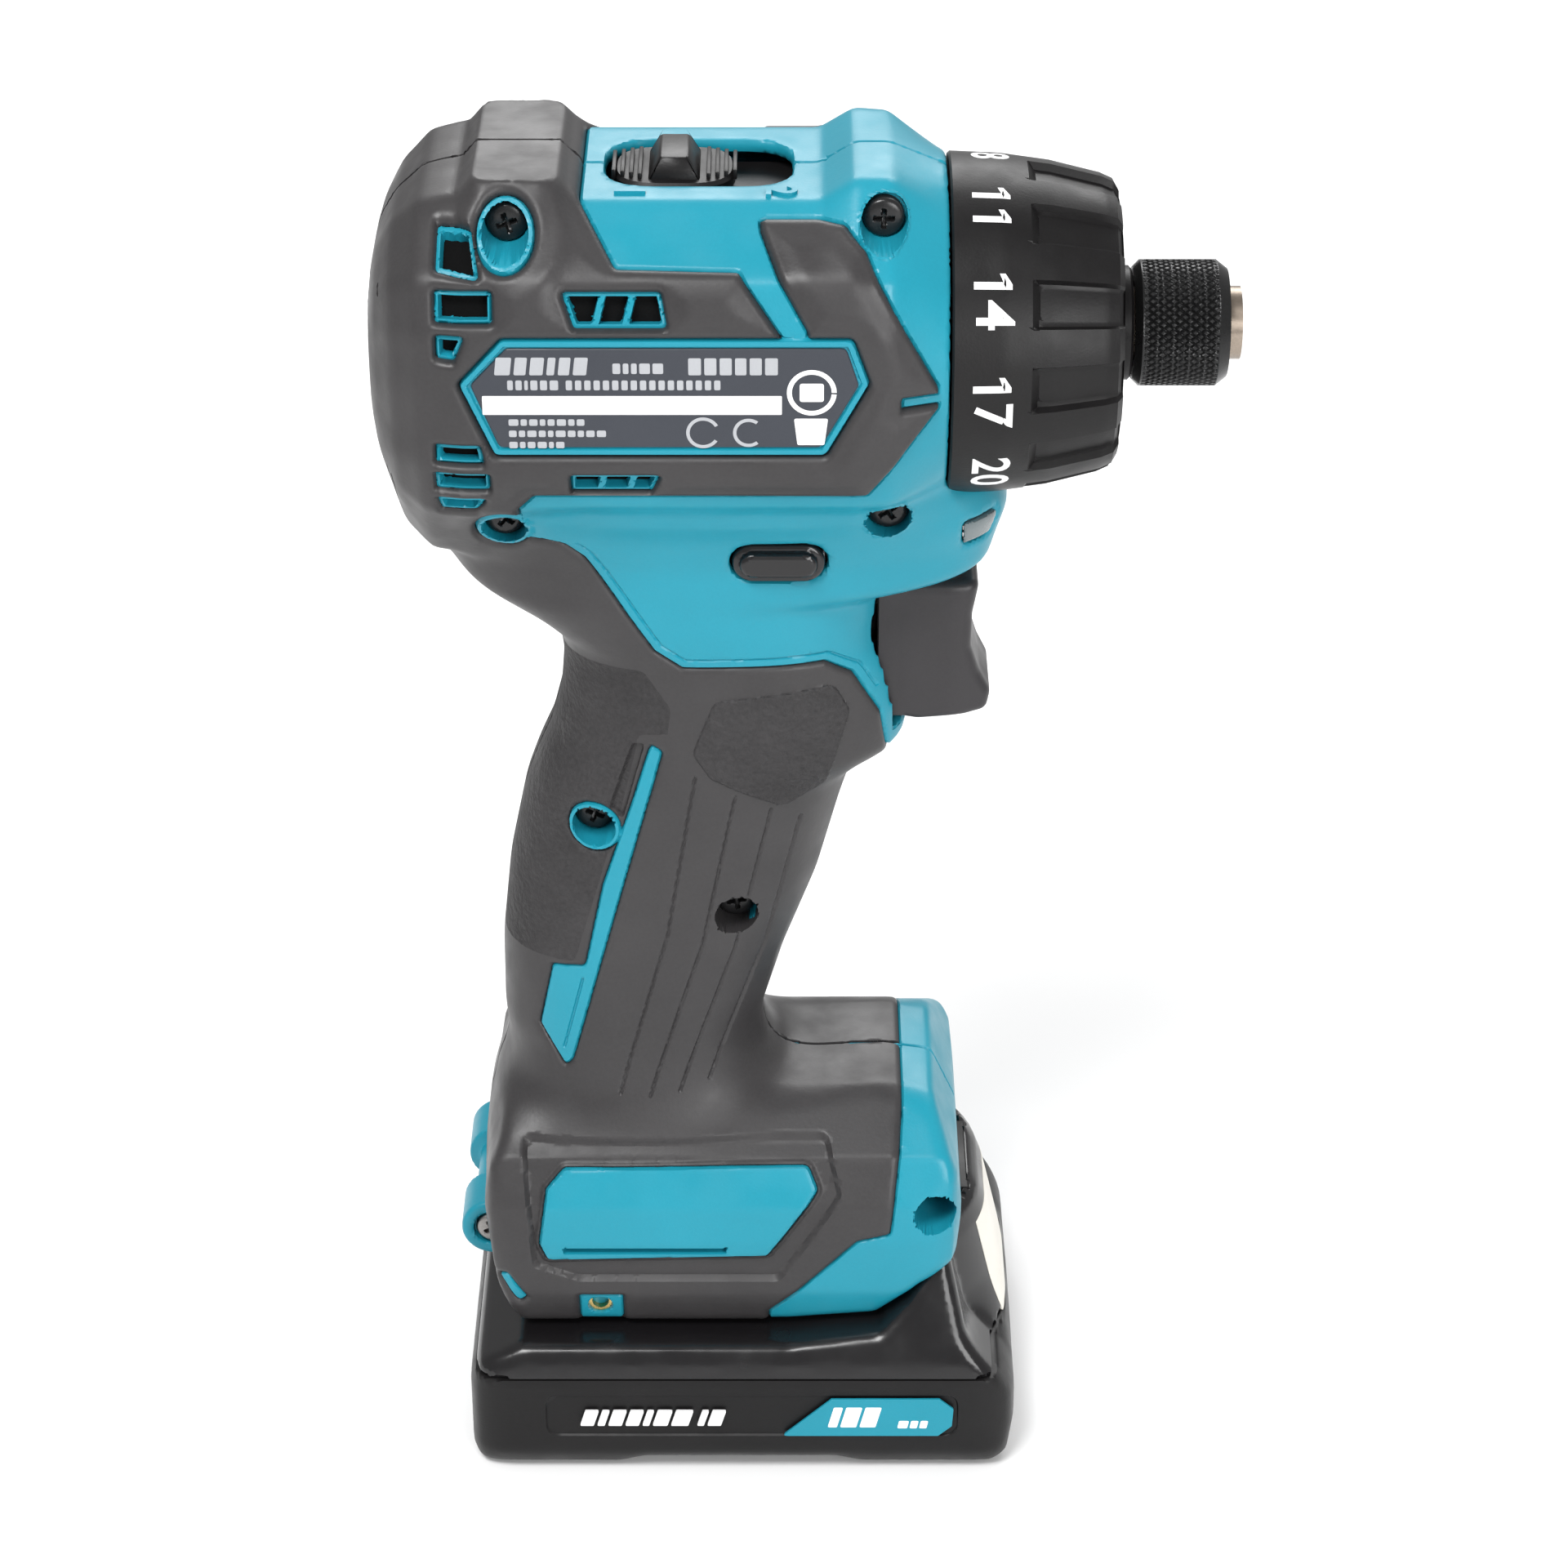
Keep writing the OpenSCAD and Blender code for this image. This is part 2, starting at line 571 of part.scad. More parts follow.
trigger_face = [[12.6, 127.2], [16.7, 126.3], [26.3, 127.4], [27.7, 130.6], [26.8, 134.5], [25.3, 139],
    [24.9, 143], [25.4, 147.3], [26, 149.8], [12.6, 149.8]];
module trigger() color(rubber) {
    side_shape(trigger_face, -trigger_w, trigger_w);
    translate([-6, 0, 140]) rotate([0, 90, 0]) cylinder(r = 2.6, h = 20);
}
module trigger_spring() color(steel) translate([4.5, 0, 140]) rotate([0, 90, 0]) coil(4, 0.45, 8, 4);
module trigger_switch() color(black) difference() {
    block([-23.5, -8, 127], [4.3, 8, 151]);
    translate([-14, 0, 140]) rotate([0, 90, 0]) cylinder(r = 3, h = 22);
}

button_r = 3.1;
module direction_button() color(black) difference() {
    hull() for (x = [button_x - 3.7, button_x + 3.7]) rod_y(x, button_z, button_r, -20.6, 20.6);
    block([-12, -2, button_z - 8], [-3.2, 2, button_z + 8]);
    block([-12, -9, button_z - 8], [-7.6, 9, button_z + 8]);
}

// Lever that carries the button's movement to the switch
lever_x = -14.4;
module direction_lever() color(black) {
    translate([lever_x, 0, 151.4]) cylinder(r = 2.2, h = 9);
    block([lever_x, -1, button_z - 1.4], [-4.8, 1, button_z + 1.1]);
}

module led_board() color([0.1, 0.4, 0.2]) block([19.8, -12, 152.6], [21, 12, 161.8]);
module led_lens() color(white) intersection() {
    for (s = [-1, 1]) block([22.8, s < 0 ? -20 : 8.4, 158.6], [28.2, s < 0 ? -8.4 : 20, 162.4]);
    grip(0.1, 0, 6);
}

// ---------- electrics in the foot ----------

module controller_board() color([0.1, 0.35, 0.2]) {
    block([-42, -17, 37], [10, 17, 38.6]);
    for (x = [-36, -26, -16]) block([x, -8, 38.6], [x + 6, 8, 44]);
}

blade_y = 8;
module terminal_block() {
    color(black) block([-43.7, -12.2, 26.2], [-40, 12.2, 34.6]);
    color(copper) for (y = [-blade_y, 0, blade_y]) block([-40, y - 0.4, 26.8], [-30, y + 0.4, 30.2]);
}

// ---------- battery ----------

battery_side = [[-53, 0], [-30, 0], [-26, 1.8], [5, 1.8], [9, 0], [30, 0], [33, 2], [34.5, 8], [34.4, 14],
    [31.6, 26], [29.3, 36], [28.2, 39], [25.8, 41.6], [25.4, 37], [18.3, 32.3], [11.4, 25.6], [-3, 23.9],
    [-45.5, 23.9], [-53, 20.6], [-55, 15], [-55, 3]];
battery_end = [[-30, 0], [30, 0], [battery_w / 2, 4], [battery_w / 2, seam_z], [31, 22], [24, 37], [18, 42],
    [-18, 42], [-24, 37], [-31, 22], [-battery_w / 2, seam_z], [-battery_w / 2, 4]];

module battery_outline() intersection() {
    side_shape(battery_side, -big, big);
    end_shape(battery_end, -60, 60);
    rounded_plan(-55, 34.5, battery_w / 2, 9, -1, 50);
}

button_y = 10;
module battery_room() {
    block([-51.5, -29.4, 2.6], [27, 29.4, 21.6]);
    block([-46, -16, 21], [20, 16, 22.4]);
    block([22.6, -button_y - gap, 27], [27.9, button_y + gap, 60]);
}

module battery_lower_case() color(black) difference() {
    intersection() { battery_outline(); block([-big, -big, -1], [big, big, seam_z]); }
    battery_room();
}

module battery_upper_case() color(black) {
    difference() {
        intersection() { battery_outline(); block([-big, -big, seam_z + tiny], [big, big, 60]); }
        battery_room();
    }
    difference() {
        union() {
            block([-37, -tongue_w, 23.8], [14, tongue_w, tongue_top]);
            block([-37, -tongue_flange_w, 27.8], [14, tongue_flange_w, tongue_top]);
        }
        for (y = [-blade_y, 0, blade_y]) block([-38, y - 0.8, 26.4], [-24, y + 0.8, 30.6]);
    }
}

module battery_cells() color([0.2, 0.45, 0.75]) for (y = [-18.9, 0, 18.9]) translate([-50.5, y, 11.9])
    rotate([0, 90, 0]) cylinder(r = 9.15, h = 65);

module battery_board() color([0.1, 0.4, 0.2]) block([-44, -12, 21.1], [16, 12, 22.3]);

module battery_button() color(black) {
    block([22.9, -button_y, 32.5], [27.6, button_y, 40.4]);
}
module battery_button_spring() color(steel) translate([25.2, 0, 27.1]) coil(1.7, 0.3, 5.3, 4);

housing_right();
housing_left();
grip_cover_right();
grip_cover_left();
name_plates();
housing_screws();
strap_lug();
clip_inserts();
motor_can();
motor_magnets();
motor_end_cap();
motor_brushes();
motor_bushes();
motor_screws();
rotor();
commutator();
fan();
gear_case();
ring_gear_1();
carrier_1();
planet_1a();
planet_1b();
planet_1c();
ring_gear_2();
carrier_2();
planet_2a();
planet_2b();
planet_2c();
lock_ring();
lock_rollers();
rear_bush();
spindle();
front_bearing();
chuck_sleeve();
sleeve_spring();
sleeve_clip();
lock_ball();
clutch_pins();
clutch_washer();
clutch_spring();
clutch_nut();
torque_ring();
ring_clip();
speed_selector();
shift_wire();
trigger();
trigger_spring();
trigger_switch();
direction_button();
direction_lever();
led_board();
led_lens();
controller_board();
terminal_block();
battery_lower_case();
battery_upper_case();
battery_cells();
battery_board();
battery_button();
battery_button_spring();
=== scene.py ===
"""A cordless drill driver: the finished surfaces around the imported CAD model.

Lengths in the shape code are millimetres; to_object() turns them into metres.
+X points out of the bit holder, +Z up, and the photographed side of the tool is at -Y.
"""

import functools
import itertools
import math

import bmesh
import bpy
import numpy as np
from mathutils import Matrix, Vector
from mathutils.geometry import tessellate_polygon


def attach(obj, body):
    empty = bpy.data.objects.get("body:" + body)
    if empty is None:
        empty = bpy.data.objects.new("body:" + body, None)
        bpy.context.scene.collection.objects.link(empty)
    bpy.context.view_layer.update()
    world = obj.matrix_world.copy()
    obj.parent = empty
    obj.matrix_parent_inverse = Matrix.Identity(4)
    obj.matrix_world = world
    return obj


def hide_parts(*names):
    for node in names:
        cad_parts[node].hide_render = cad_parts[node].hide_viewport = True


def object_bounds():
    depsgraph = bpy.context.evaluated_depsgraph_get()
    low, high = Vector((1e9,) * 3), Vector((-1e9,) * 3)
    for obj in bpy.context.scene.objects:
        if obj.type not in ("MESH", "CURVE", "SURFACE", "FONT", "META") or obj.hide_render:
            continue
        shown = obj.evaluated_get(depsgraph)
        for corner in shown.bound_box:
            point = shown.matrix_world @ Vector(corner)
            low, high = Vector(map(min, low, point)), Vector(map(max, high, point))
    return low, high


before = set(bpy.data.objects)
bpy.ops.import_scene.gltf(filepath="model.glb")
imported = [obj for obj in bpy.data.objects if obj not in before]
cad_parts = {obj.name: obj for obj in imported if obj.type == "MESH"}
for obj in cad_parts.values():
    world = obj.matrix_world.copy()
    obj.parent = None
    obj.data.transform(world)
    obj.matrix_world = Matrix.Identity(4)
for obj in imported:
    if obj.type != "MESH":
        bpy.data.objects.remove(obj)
cad_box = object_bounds()

MM = 0.001
SPINDLE_Z = 188.5
FAR_OUTSIDE = -9.0  # value of a side-view field where it doesn't apply
MARK = 0.75  # share of a wall above which a point belongs to it


# ---------------------------------------------------------------- outlines


def rounded(points, radius, steps=5):
    """Closed outline with its corners turned into short curves; radius is one value or one per corner."""
    pts = np.asarray(points, float)
    radii = np.broadcast_to(radius, len(pts))
    out = []
    for before, p, after, r in zip(np.roll(pts, 1, 0), pts, np.roll(pts, -1, 0), radii):
        u, v = before - p, after - p
        lu, lv = np.linalg.norm(u), np.linalg.norm(v)
        u, v = u / lu, v / lv
        half = math.acos(float(np.clip(u @ v, -1, 1))) / 2
        reach = min(r / math.tan(half), 0.48 * lu, 0.48 * lv) if half < 1.55 else 0
        if reach < 0.02:
            out.append(p)
            continue
        for s in np.linspace(0, 1, steps):
            out.append((1 - s) ** 2 * (p + reach * u) + 2 * s * (1 - s) * p + s * s * (p + reach * v))
    return np.array(out)


def inside_by(a, b, outline):
    """How far each point (a, b) lies inside a closed outline; negative outside."""
    a, b = np.broadcast_arrays(np.asarray(a, float), np.asarray(b, float))
    best = np.full(a.shape, 1e9)
    odd = np.zeros(a.shape, bool)
    pts = np.asarray(outline, float)
    for (a0, b0), (a1, b1) in zip(pts, np.roll(pts, -1, 0)):
        da, db = a1 - a0, b1 - b0
        t = np.clip(((a - a0) * da + (b - b0) * db) / (da * da + db * db + 1e-12), 0, 1)
        best = np.minimum(best, (a - a0 - t * da) ** 2 + (b - b0 - t * db) ** 2)
        if b0 != b1:
            odd ^= ((b0 > b) != (b1 > b)) & (a < a0 + (b - b0) * da / db)
    return np.where(odd, 1, -1) * np.sqrt(best)


def near_line(a, b, points, half_width):
    """How far each point lies inside a band that follows an open line."""
    best = np.full(np.shape(a), 1e9)
    for (a0, b0), (a1, b1) in zip(points[:-1], points[1:]):
        da, db = a1 - a0, b1 - b0
        t = np.clip(((a - a0) * da + (b - b0) * db) / (da * da + db * db), 0, 1)
        best = np.minimum(best, (a - a0 - t * da) ** 2 + (b - b0 - t * db) ** 2)
    return half_width - np.sqrt(best)


def in_disc(a, b, centre, r):
    return r - np.hypot(a - centre[0], b - centre[1])


def unit(x):
    return np.clip(x, 0, 1)


def ease(x):
    x = unit(x)
    return x * x * (3 - 2 * x)


def step(x):
    """Rises quickly and then levels off between 0 and 1: a rounded shoulder."""
    return np.sqrt(1 - (1 - unit(x)) ** 2)


def smooth_min(a, b, k):
    return np.minimum(a, b) - np.maximum(k - np.abs(a - b), 0) ** 2 / (4 * k)


def smooth_max(a, b, k):
    return -smooth_min(-a, -b, k)


# ------------------------------------------------------- surfaces from fields


def surface_net(field, low, high, pitch):
    """A closed quad surface where field(x, y, z) crosses zero, as (points, triangles)."""
    axes = [np.arange(lo, hi + pitch, pitch) for lo, hi in zip(low, high)]
    grid = np.meshgrid(*axes, indexing="ij", sparse=True)
    value = np.asarray(field(*grid), float)
    for axis in range(3):
        np.moveaxis(value, axis, 0)[[0, -1]] = np.abs(np.moveaxis(value, axis, 0)[[0, -1]]) + pitch
    solid = value < 0
    shape = np.array(value.shape)
    cells = shape - 1
    total = np.zeros((cells.prod(), 3))
    count = np.zeros(cells.prod())
    quads = []
    for axis in range(3):
        nxt = [slice(None)] * 3
        nxt[axis] = slice(1, None)
        cur = [slice(None)] * 3
        cur[axis] = slice(0, -1)
        i, j, k = np.nonzero(solid[tuple(nxt)] != solid[tuple(cur)])
        at = np.stack([i, j, k], 1)
        ahead = at.copy()
        ahead[:, axis] += 1
        v0 = value[tuple(at.T)]
        v1 = value[tuple(ahead.T)]
        point = at.astype(float)
        point[:, axis] += v0 / (v0 - v1)
        b, c = (axis + 1) % 3, (axis + 2) % 3
        corners = []
        for db, dc in ((1, 1), (0, 1), (0, 0), (1, 0)):
            cell = at.copy()
            cell[:, b] -= db
            cell[:, c] -= dc
            index = (cell[:, 0] * cells[1] + cell[:, 1]) * cells[2] + cell[:, 2]
            corners.append(index)
            count += np.bincount(index, minlength=len(count))
            for d in range(3):
                total[:, d] += np.bincount(index, point[:, d], minlength=len(count))
        quad = np.stack(corners, 1)
        flip = v0 > 0
        quad[flip] = quad[flip][:, ::-1]
        quads.append(quad)
    quads = np.concatenate(quads)
    used = np.nonzero(count)[0]
    renumber = np.zeros(len(count), np.int64)
    renumber[used] = np.arange(len(used))
    points = total[used] / count[used, None] * pitch + np.array(low)
    quads = renumber[quads]
    d0 = np.linalg.norm(points[quads[:, 0]] - points[quads[:, 2]], axis=1)
    d1 = np.linalg.norm(points[quads[:, 1]] - points[quads[:, 3]], axis=1)
    first = np.where((d0 < d1)[:, None], quads[:, [0, 1, 2]], quads[:, [0, 1, 3]])
    second = np.where((d0 < d1)[:, None], quads[:, [0, 2, 3]], quads[:, [1, 2, 3]])
    return points, np.concatenate([first, second])


def slope(field, p, h=0.05):
    """Gradient of a field at points p."""
    out = np.empty_like(p)
    for d in range(3):
        a, b = p.copy(), p.copy()
        a[:, d] += h
        b[:, d] -= h
        out[:, d] = (field(*a.T) - field(*b.T)) / (2 * h)
    return out


def settle(field, p, rounds=3, reach=0.4):
    """Moves points onto the surface where field is zero."""
    for _ in range(rounds):
        g = slope(field, p)
        move = g * (field(*p.T) / np.maximum((g * g).sum(1), 0.05))[:, None]
        size = np.linalg.norm(move, axis=1, keepdims=True)
        p = p - move * np.minimum(1, reach / np.maximum(size, 1e-9))
    return p


def cut(points, faces, value, level, snap=0.07):
    """Splits the faces along the line where value crosses level. value gets an entry for each new point."""
    v = value - level
    v = np.where(np.abs(v) < snap, 0, v)
    sign = np.sign(v)
    corner = sign[faces]
    mixed = (corner.min(1) < 0) & (corner.max(1) > 0)
    if not mixed.any():
        return points, faces, value, np.empty((0, 2), np.int64), np.empty(0)
    f = faces[mixed]
    n = len(points)
    pairs = np.stack([f, np.roll(f, -1, 1)], 2)
    crossing = sign[pairs[..., 0]] * sign[pairs[..., 1]] < 0
    key = np.sort(pairs, 2)
    key = key[..., 0] * n + key[..., 1]
    unique, inverse = np.unique(key[crossing], return_inverse=True)
    i, j = unique // n, unique % n
    t = v[i] / (v[i] - v[j])
    points = np.concatenate([points, points[i] + t[:, None] * (points[j] - points[i])])
    value = np.concatenate([value, value[i] + t * (value[j] - value[i])])
    mid = np.full(f.shape, -1, np.int64)
    mid[crossing] = n + inverse.ravel()
    parts = [faces[~mixed]]
    for r in range(3):
        a, b, c = f[:, r], f[:, (r + 1) % 3], f[:, (r + 2) % 3]
        m_ab, m_ca, m_bc = mid[:, r], mid[:, (r + 2) % 3], mid[:, (r + 1) % 3]
        both = (m_ab >= 0) & (m_ca >= 0)
        for tri in ((a, m_ab, m_ca), (m_ab, b, c), (m_ab, c, m_ca)):
            parts.append(np.stack([q[both] for q in tri], 1))
        one = (m_ab >= 0) & (m_ca < 0) & (m_bc < 0)
        for tri in ((a, m_ab, c), (m_ab, b, c)):
            parts.append(np.stack([q[one] for q in tri], 1))
    return points, np.concatenate(parts), value, np.stack([i, j], 1), t


def refine(points, faces, extra, hot):
    """Halves every edge of the hot faces; their neighbours are split to match."""
    n = len(points)
    pairs = np.sort(np.stack([faces, np.roll(faces, -1, 1)], 2), 2)
    key = pairs[..., 0] * n + pairs[..., 1]
    marked = np.unique(key[hot])
    at = np.minimum(np.searchsorted(marked, key), len(marked) - 1)
    mid = np.where(marked[at] == key, n + at, -1)
    i, j = marked // n, marked % n
    points = np.concatenate([points, (points[i] + points[j]) / 2])
    extra = np.concatenate([extra, (extra[i] + extra[j]) / 2])
    count = (mid >= 0).sum(1)
    parts = [faces[count == 0]]
    f, m = faces[count == 3], mid[count == 3]
    corners = [(f[:, k], m[:, k], m[:, k - 1]) for k in range(3)] + [(m[:, 0], m[:, 1], m[:, 2])]
    parts += [np.stack(tri, 1) for tri in corners]
    for r in range(3):
        a, b, c = faces[:, r], faces[:, (r + 1) % 3], faces[:, (r + 2) % 3]
        ab, bc, ca = mid[:, r], mid[:, (r + 1) % 3], mid[:, (r + 2) % 3]
        one = (count == 1) & (ab >= 0)
        parts += [np.stack([q[one] for q in tri], 1) for tri in ((a, ab, c), (ab, b, c))]
        two = (count == 2) & (bc < 0)
        parts += [np.stack([q[two] for q in tri], 1) for tri in ((a, ab, ca), (ab, b, ca), (b, c, ca))]
    return points, np.concatenate(parts), extra


def cut_all(points, faces, extra, fields):
    """Cuts the faces along every level of every field. extra rows follow the points as they are added."""
    for field, levels in fields:
        value = field(points, extra)
        for level in levels:
            points, faces, value, pairs, t = cut(points, faces, value, level)
            if len(pairs):
                added = extra[pairs[:, 0]] * (1 - t[:, None]) + extra[pairs[:, 1]] * t[:, None]
                extra = np.concatenate([extra, added])
    return points, faces, extra


def compact(faces):
    """The points that the faces use, and the faces renumbered to them."""
    used, inverse = np.unique(faces, return_inverse=True)
    return used, inverse.reshape(faces.shape)


def slab(top, bottom, faces):
    """A closed piece between two sheets that share their faces."""
    used, f = compact(faces)
    n = len(used)
    edges = np.concatenate([f[:, [0, 1]], f[:, [1, 2]], f[:, [2, 0]]])
    key = edges[:, 0] * n + edges[:, 1]
    back = edges[:, 1] * n + edges[:, 0]
    rim = edges[~np.isin(key, back)]
    a, b = rim[:, 0], rim[:, 1]
    walls = np.concatenate([np.stack([b, a, a + n], 1), np.stack([b, a + n, b + n], 1)])
    return np.concatenate([top[used], bottom[used]]), np.concatenate([f, f[:, ::-1] + n, walls])


# ------------------------------------------------------------- mesh objects


def to_object(name, points, faces, finish, sharp):
    """A Blender object from points in millimetres. faces is an array or a list of index tuples."""
    mesh = bpy.data.meshes.new(name)
    points = np.asarray(points, float) * MM
    if isinstance(faces, np.ndarray):
        size = faces.shape[1]
        mesh.vertices.add(len(points))
        mesh.vertices.foreach_set("co", points.ravel())
        mesh.loops.add(faces.size)
        mesh.loops.foreach_set("vertex_index", faces.ravel().astype(np.int32))
        mesh.polygons.add(len(faces))
        mesh.polygons.foreach_set("loop_start", np.arange(0, faces.size, size, dtype=np.int32))
        mesh.update(calc_edges=True)
    else:
        mesh.from_pydata(points.tolist(), [], [tuple(f) for f in faces])
    mesh.validate()
    mesh.polygons.foreach_set("use_smooth", np.ones(len(mesh.polygons), bool))
    mesh.set_sharp_from_angle(angle=math.radians(sharp))
    mesh.materials.append(MATERIALS[finish])
    obj = bpy.data.objects.new(name, mesh)
    bpy.context.scene.collection.objects.link(obj)
    return obj


SHARP = 38  # degrees between faces above which an edge stays sharp
CRISP = 30


def piece(name, shape, finish, body, *nodes, slot=None, sharp=SHARP):
    """Makes a piece and says which body it rides on and which CAD nodes it stands for; slot is not used."""
    obj = to_object(name, *shape, finish, sharp)
    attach(obj, body)
    if nodes:
        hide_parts(*nodes)
    return obj


def joined(*parts):
    """Several (points, faces) pairs as one, with faces as a list."""
    points, faces = [], []
    for p, f in parts:
        start = sum(len(q) for q in points)
        points.append(np.asarray(p, float))
        faces += [[int(i) + start for i in face] for face in f]
    return np.concatenate(points), faces


def mirrored(points, faces):
    """The same shape on the other side of the tool."""
    if isinstance(faces, np.ndarray):
        return points * [1, -1, 1], faces[:, ::-1]
    return points * [1, -1, 1], [face[::-1] for face in faces]


# Each side of the tool, and what turns a right-hand shape into the shape on that side
SIDES = (("right", lambda points, faces: (points, faces)), ("left", mirrored))


def hoops(x, z, loops, count):
    """Points of circles round a line along Y, one circle for each (y, radius)."""
    turn = np.arange(count) * 2 * math.pi / count
    circles = [np.stack([x + r * np.cos(turn), np.full(count, y), z + r * np.sin(turn)], 1) for y, r in loops]
    return np.concatenate(circles)


def hoop_faces(pairs, count):
    """Quads between pairs of circles of hoops()."""
    return [
        [a * count + (k + 1) % count, b * count + (k + 1) % count, b * count + k, a * count + k]
        for a, b in pairs
        for k in range(count)
    ]


def inset(outline, distance):
    """Moves a closed outline inwards along the mean of its edge normals."""
    p = np.asarray(outline, float)
    area = 0.5 * np.sum(p[:, 0] * np.roll(p[:, 1], -1) - np.roll(p[:, 0], -1) * p[:, 1])
    edge = np.roll(p, -1, 0) - p
    edge /= np.linalg.norm(edge, axis=1, keepdims=True) + 1e-12
    normal = np.stack([-edge[:, 1], edge[:, 0]], 1) * np.sign(area)
    mean = normal + np.roll(normal, 1, 0)
    mean /= np.maximum((mean * normal).sum(1, keepdims=True), 0.35)
    return p + mean * distance


def on_side(x, z, h):
    return x, -h, z


def on_top(x, y, h):
    return x, y, h


def plate(outline, base, top, edge, put=on_side):
    """A flat plate with a bevelled edge. base and top are heights along its normal, and put turns a
    point of the outline and a height into a point in space."""
    loops = [(outline, base), (outline, top - edge), (inset(outline, edge), top)]
    n = len(outline)
    points = [put(x, z, h) for loop, h in loops for x, z in loop]
    faces = [list(range(n))[::-1], [2 * n + i for i in range(n)]]
    for level in (0, 1):
        for i in range(n):
            j = (i + 1) % n
            faces.append([level * n + i, level * n + j, (level + 1) * n + j, (level + 1) * n + i])
    x, z = np.asarray(outline).T
    if np.sum(x * np.roll(z, -1) - np.roll(x, -1) * z) < 0:
        faces = [f[::-1] for f in faces]
    return np.array(points), faces


# ---------------------------------------------------------------- materials


COAT_ROUGHNESS = 0.12
ROUGH_SPREAD = 0.08


def material(
    name, colour, rough, metal=0.0, grain=2500, depth=0.02, mottle=0.10, blotch=60, coat=0.0,
    brushed=None, cells=0.0, cell_scale=1400, transmission=0.0, level=0.5,
):  # fmt: skip
    """Procedural finish: a mottled colour, uneven gloss, and a fine moulded, brushed or pebbled grain.

    depth is the height of the grain in millimetres; grain, blotch and cell_scale are counts per metre.
    """
    mat = bpy.data.materials.new(name)
    mat.use_nodes = True
    nodes, links = mat.node_tree.nodes, mat.node_tree.links
    shader = nodes["Principled BSDF"]

    def put_in(node, **values):
        for label, value in values.items():
            node.inputs[label.replace("_", " ")].default_value = value
        return node

    put_in(
        shader, Metallic=metal, Specular_IOR_Level=level, Coat_Weight=coat, Coat_Roughness=COAT_ROUGHNESS,
        Transmission_Weight=transmission,
    )  # fmt: skip
    where = nodes.new("ShaderNodeTexCoord").outputs["Object"]

    def noise(scale, detail=3.0, stretch=None):
        node = put_in(nodes.new("ShaderNodeTexNoise"), Scale=scale, Detail=detail)
        source = where
        if stretch:
            mapping = put_in(nodes.new("ShaderNodeMapping"), Scale=stretch)
            links.new(where, mapping.inputs["Vector"])
            source = mapping.outputs["Vector"]
        links.new(source, node.inputs["Vector"])
        return node.outputs["Fac"]

    def ramp(source, low, high):
        node = put_in(nodes.new("ShaderNodeMapRange"), From_Min=0.3, From_Max=0.7, To_Min=low, To_Max=high)
        links.new(source, node.inputs["Value"])
        return node.outputs["Result"]

    tone = nodes.new("ShaderNodeMix")
    tone.data_type = "RGBA"
    dark = [c * (1 - mottle) for c in colour[:3]]
    light = [min(1.0, c * (1 + mottle) + 0.004 * mottle) for c in colour[:3]]
    tone.inputs["A"].default_value = (*dark, 1)
    tone.inputs["B"].default_value = (*light, 1)
    both = nodes.new("ShaderNodeMath")
    both.operation = "ADD"
    links.new(ramp(noise(blotch), 0.0, 0.6), both.inputs[0])
    links.new(ramp(noise(grain), 0.0, 0.4), both.inputs[1])
    links.new(both.outputs[0], tone.inputs["Factor"])
    links.new(tone.outputs["Result"], shader.inputs["Base Color"])
    uneven = ramp(noise(blotch * 2.5), rough - ROUGH_SPREAD, rough + ROUGH_SPREAD)
    links.new(uneven, shader.inputs["Roughness"])
    bump = put_in(nodes.new("ShaderNodeBump"), Strength=0.5, Distance=depth * MM)
    height = noise(grain, 2.0, brushed)
    if cells:
        pebble = put_in(nodes.new("ShaderNodeTexVoronoi"), Scale=cell_scale)
        pebble.feature = "SMOOTH_F1"
        links.new(where, pebble.inputs["Vector"])
        blend = nodes.new("ShaderNodeMath")
        blend.operation = "MULTIPLY_ADD"
        links.new(pebble.outputs["Distance"], blend.inputs[0])
        blend.inputs[1].default_value = cells
        links.new(height, blend.inputs[2])
        height = blend.outputs[0]
    links.new(height, bump.inputs["Height"])
    links.new(bump.outputs["Normal"], shader.inputs["Normal"])
    return mat


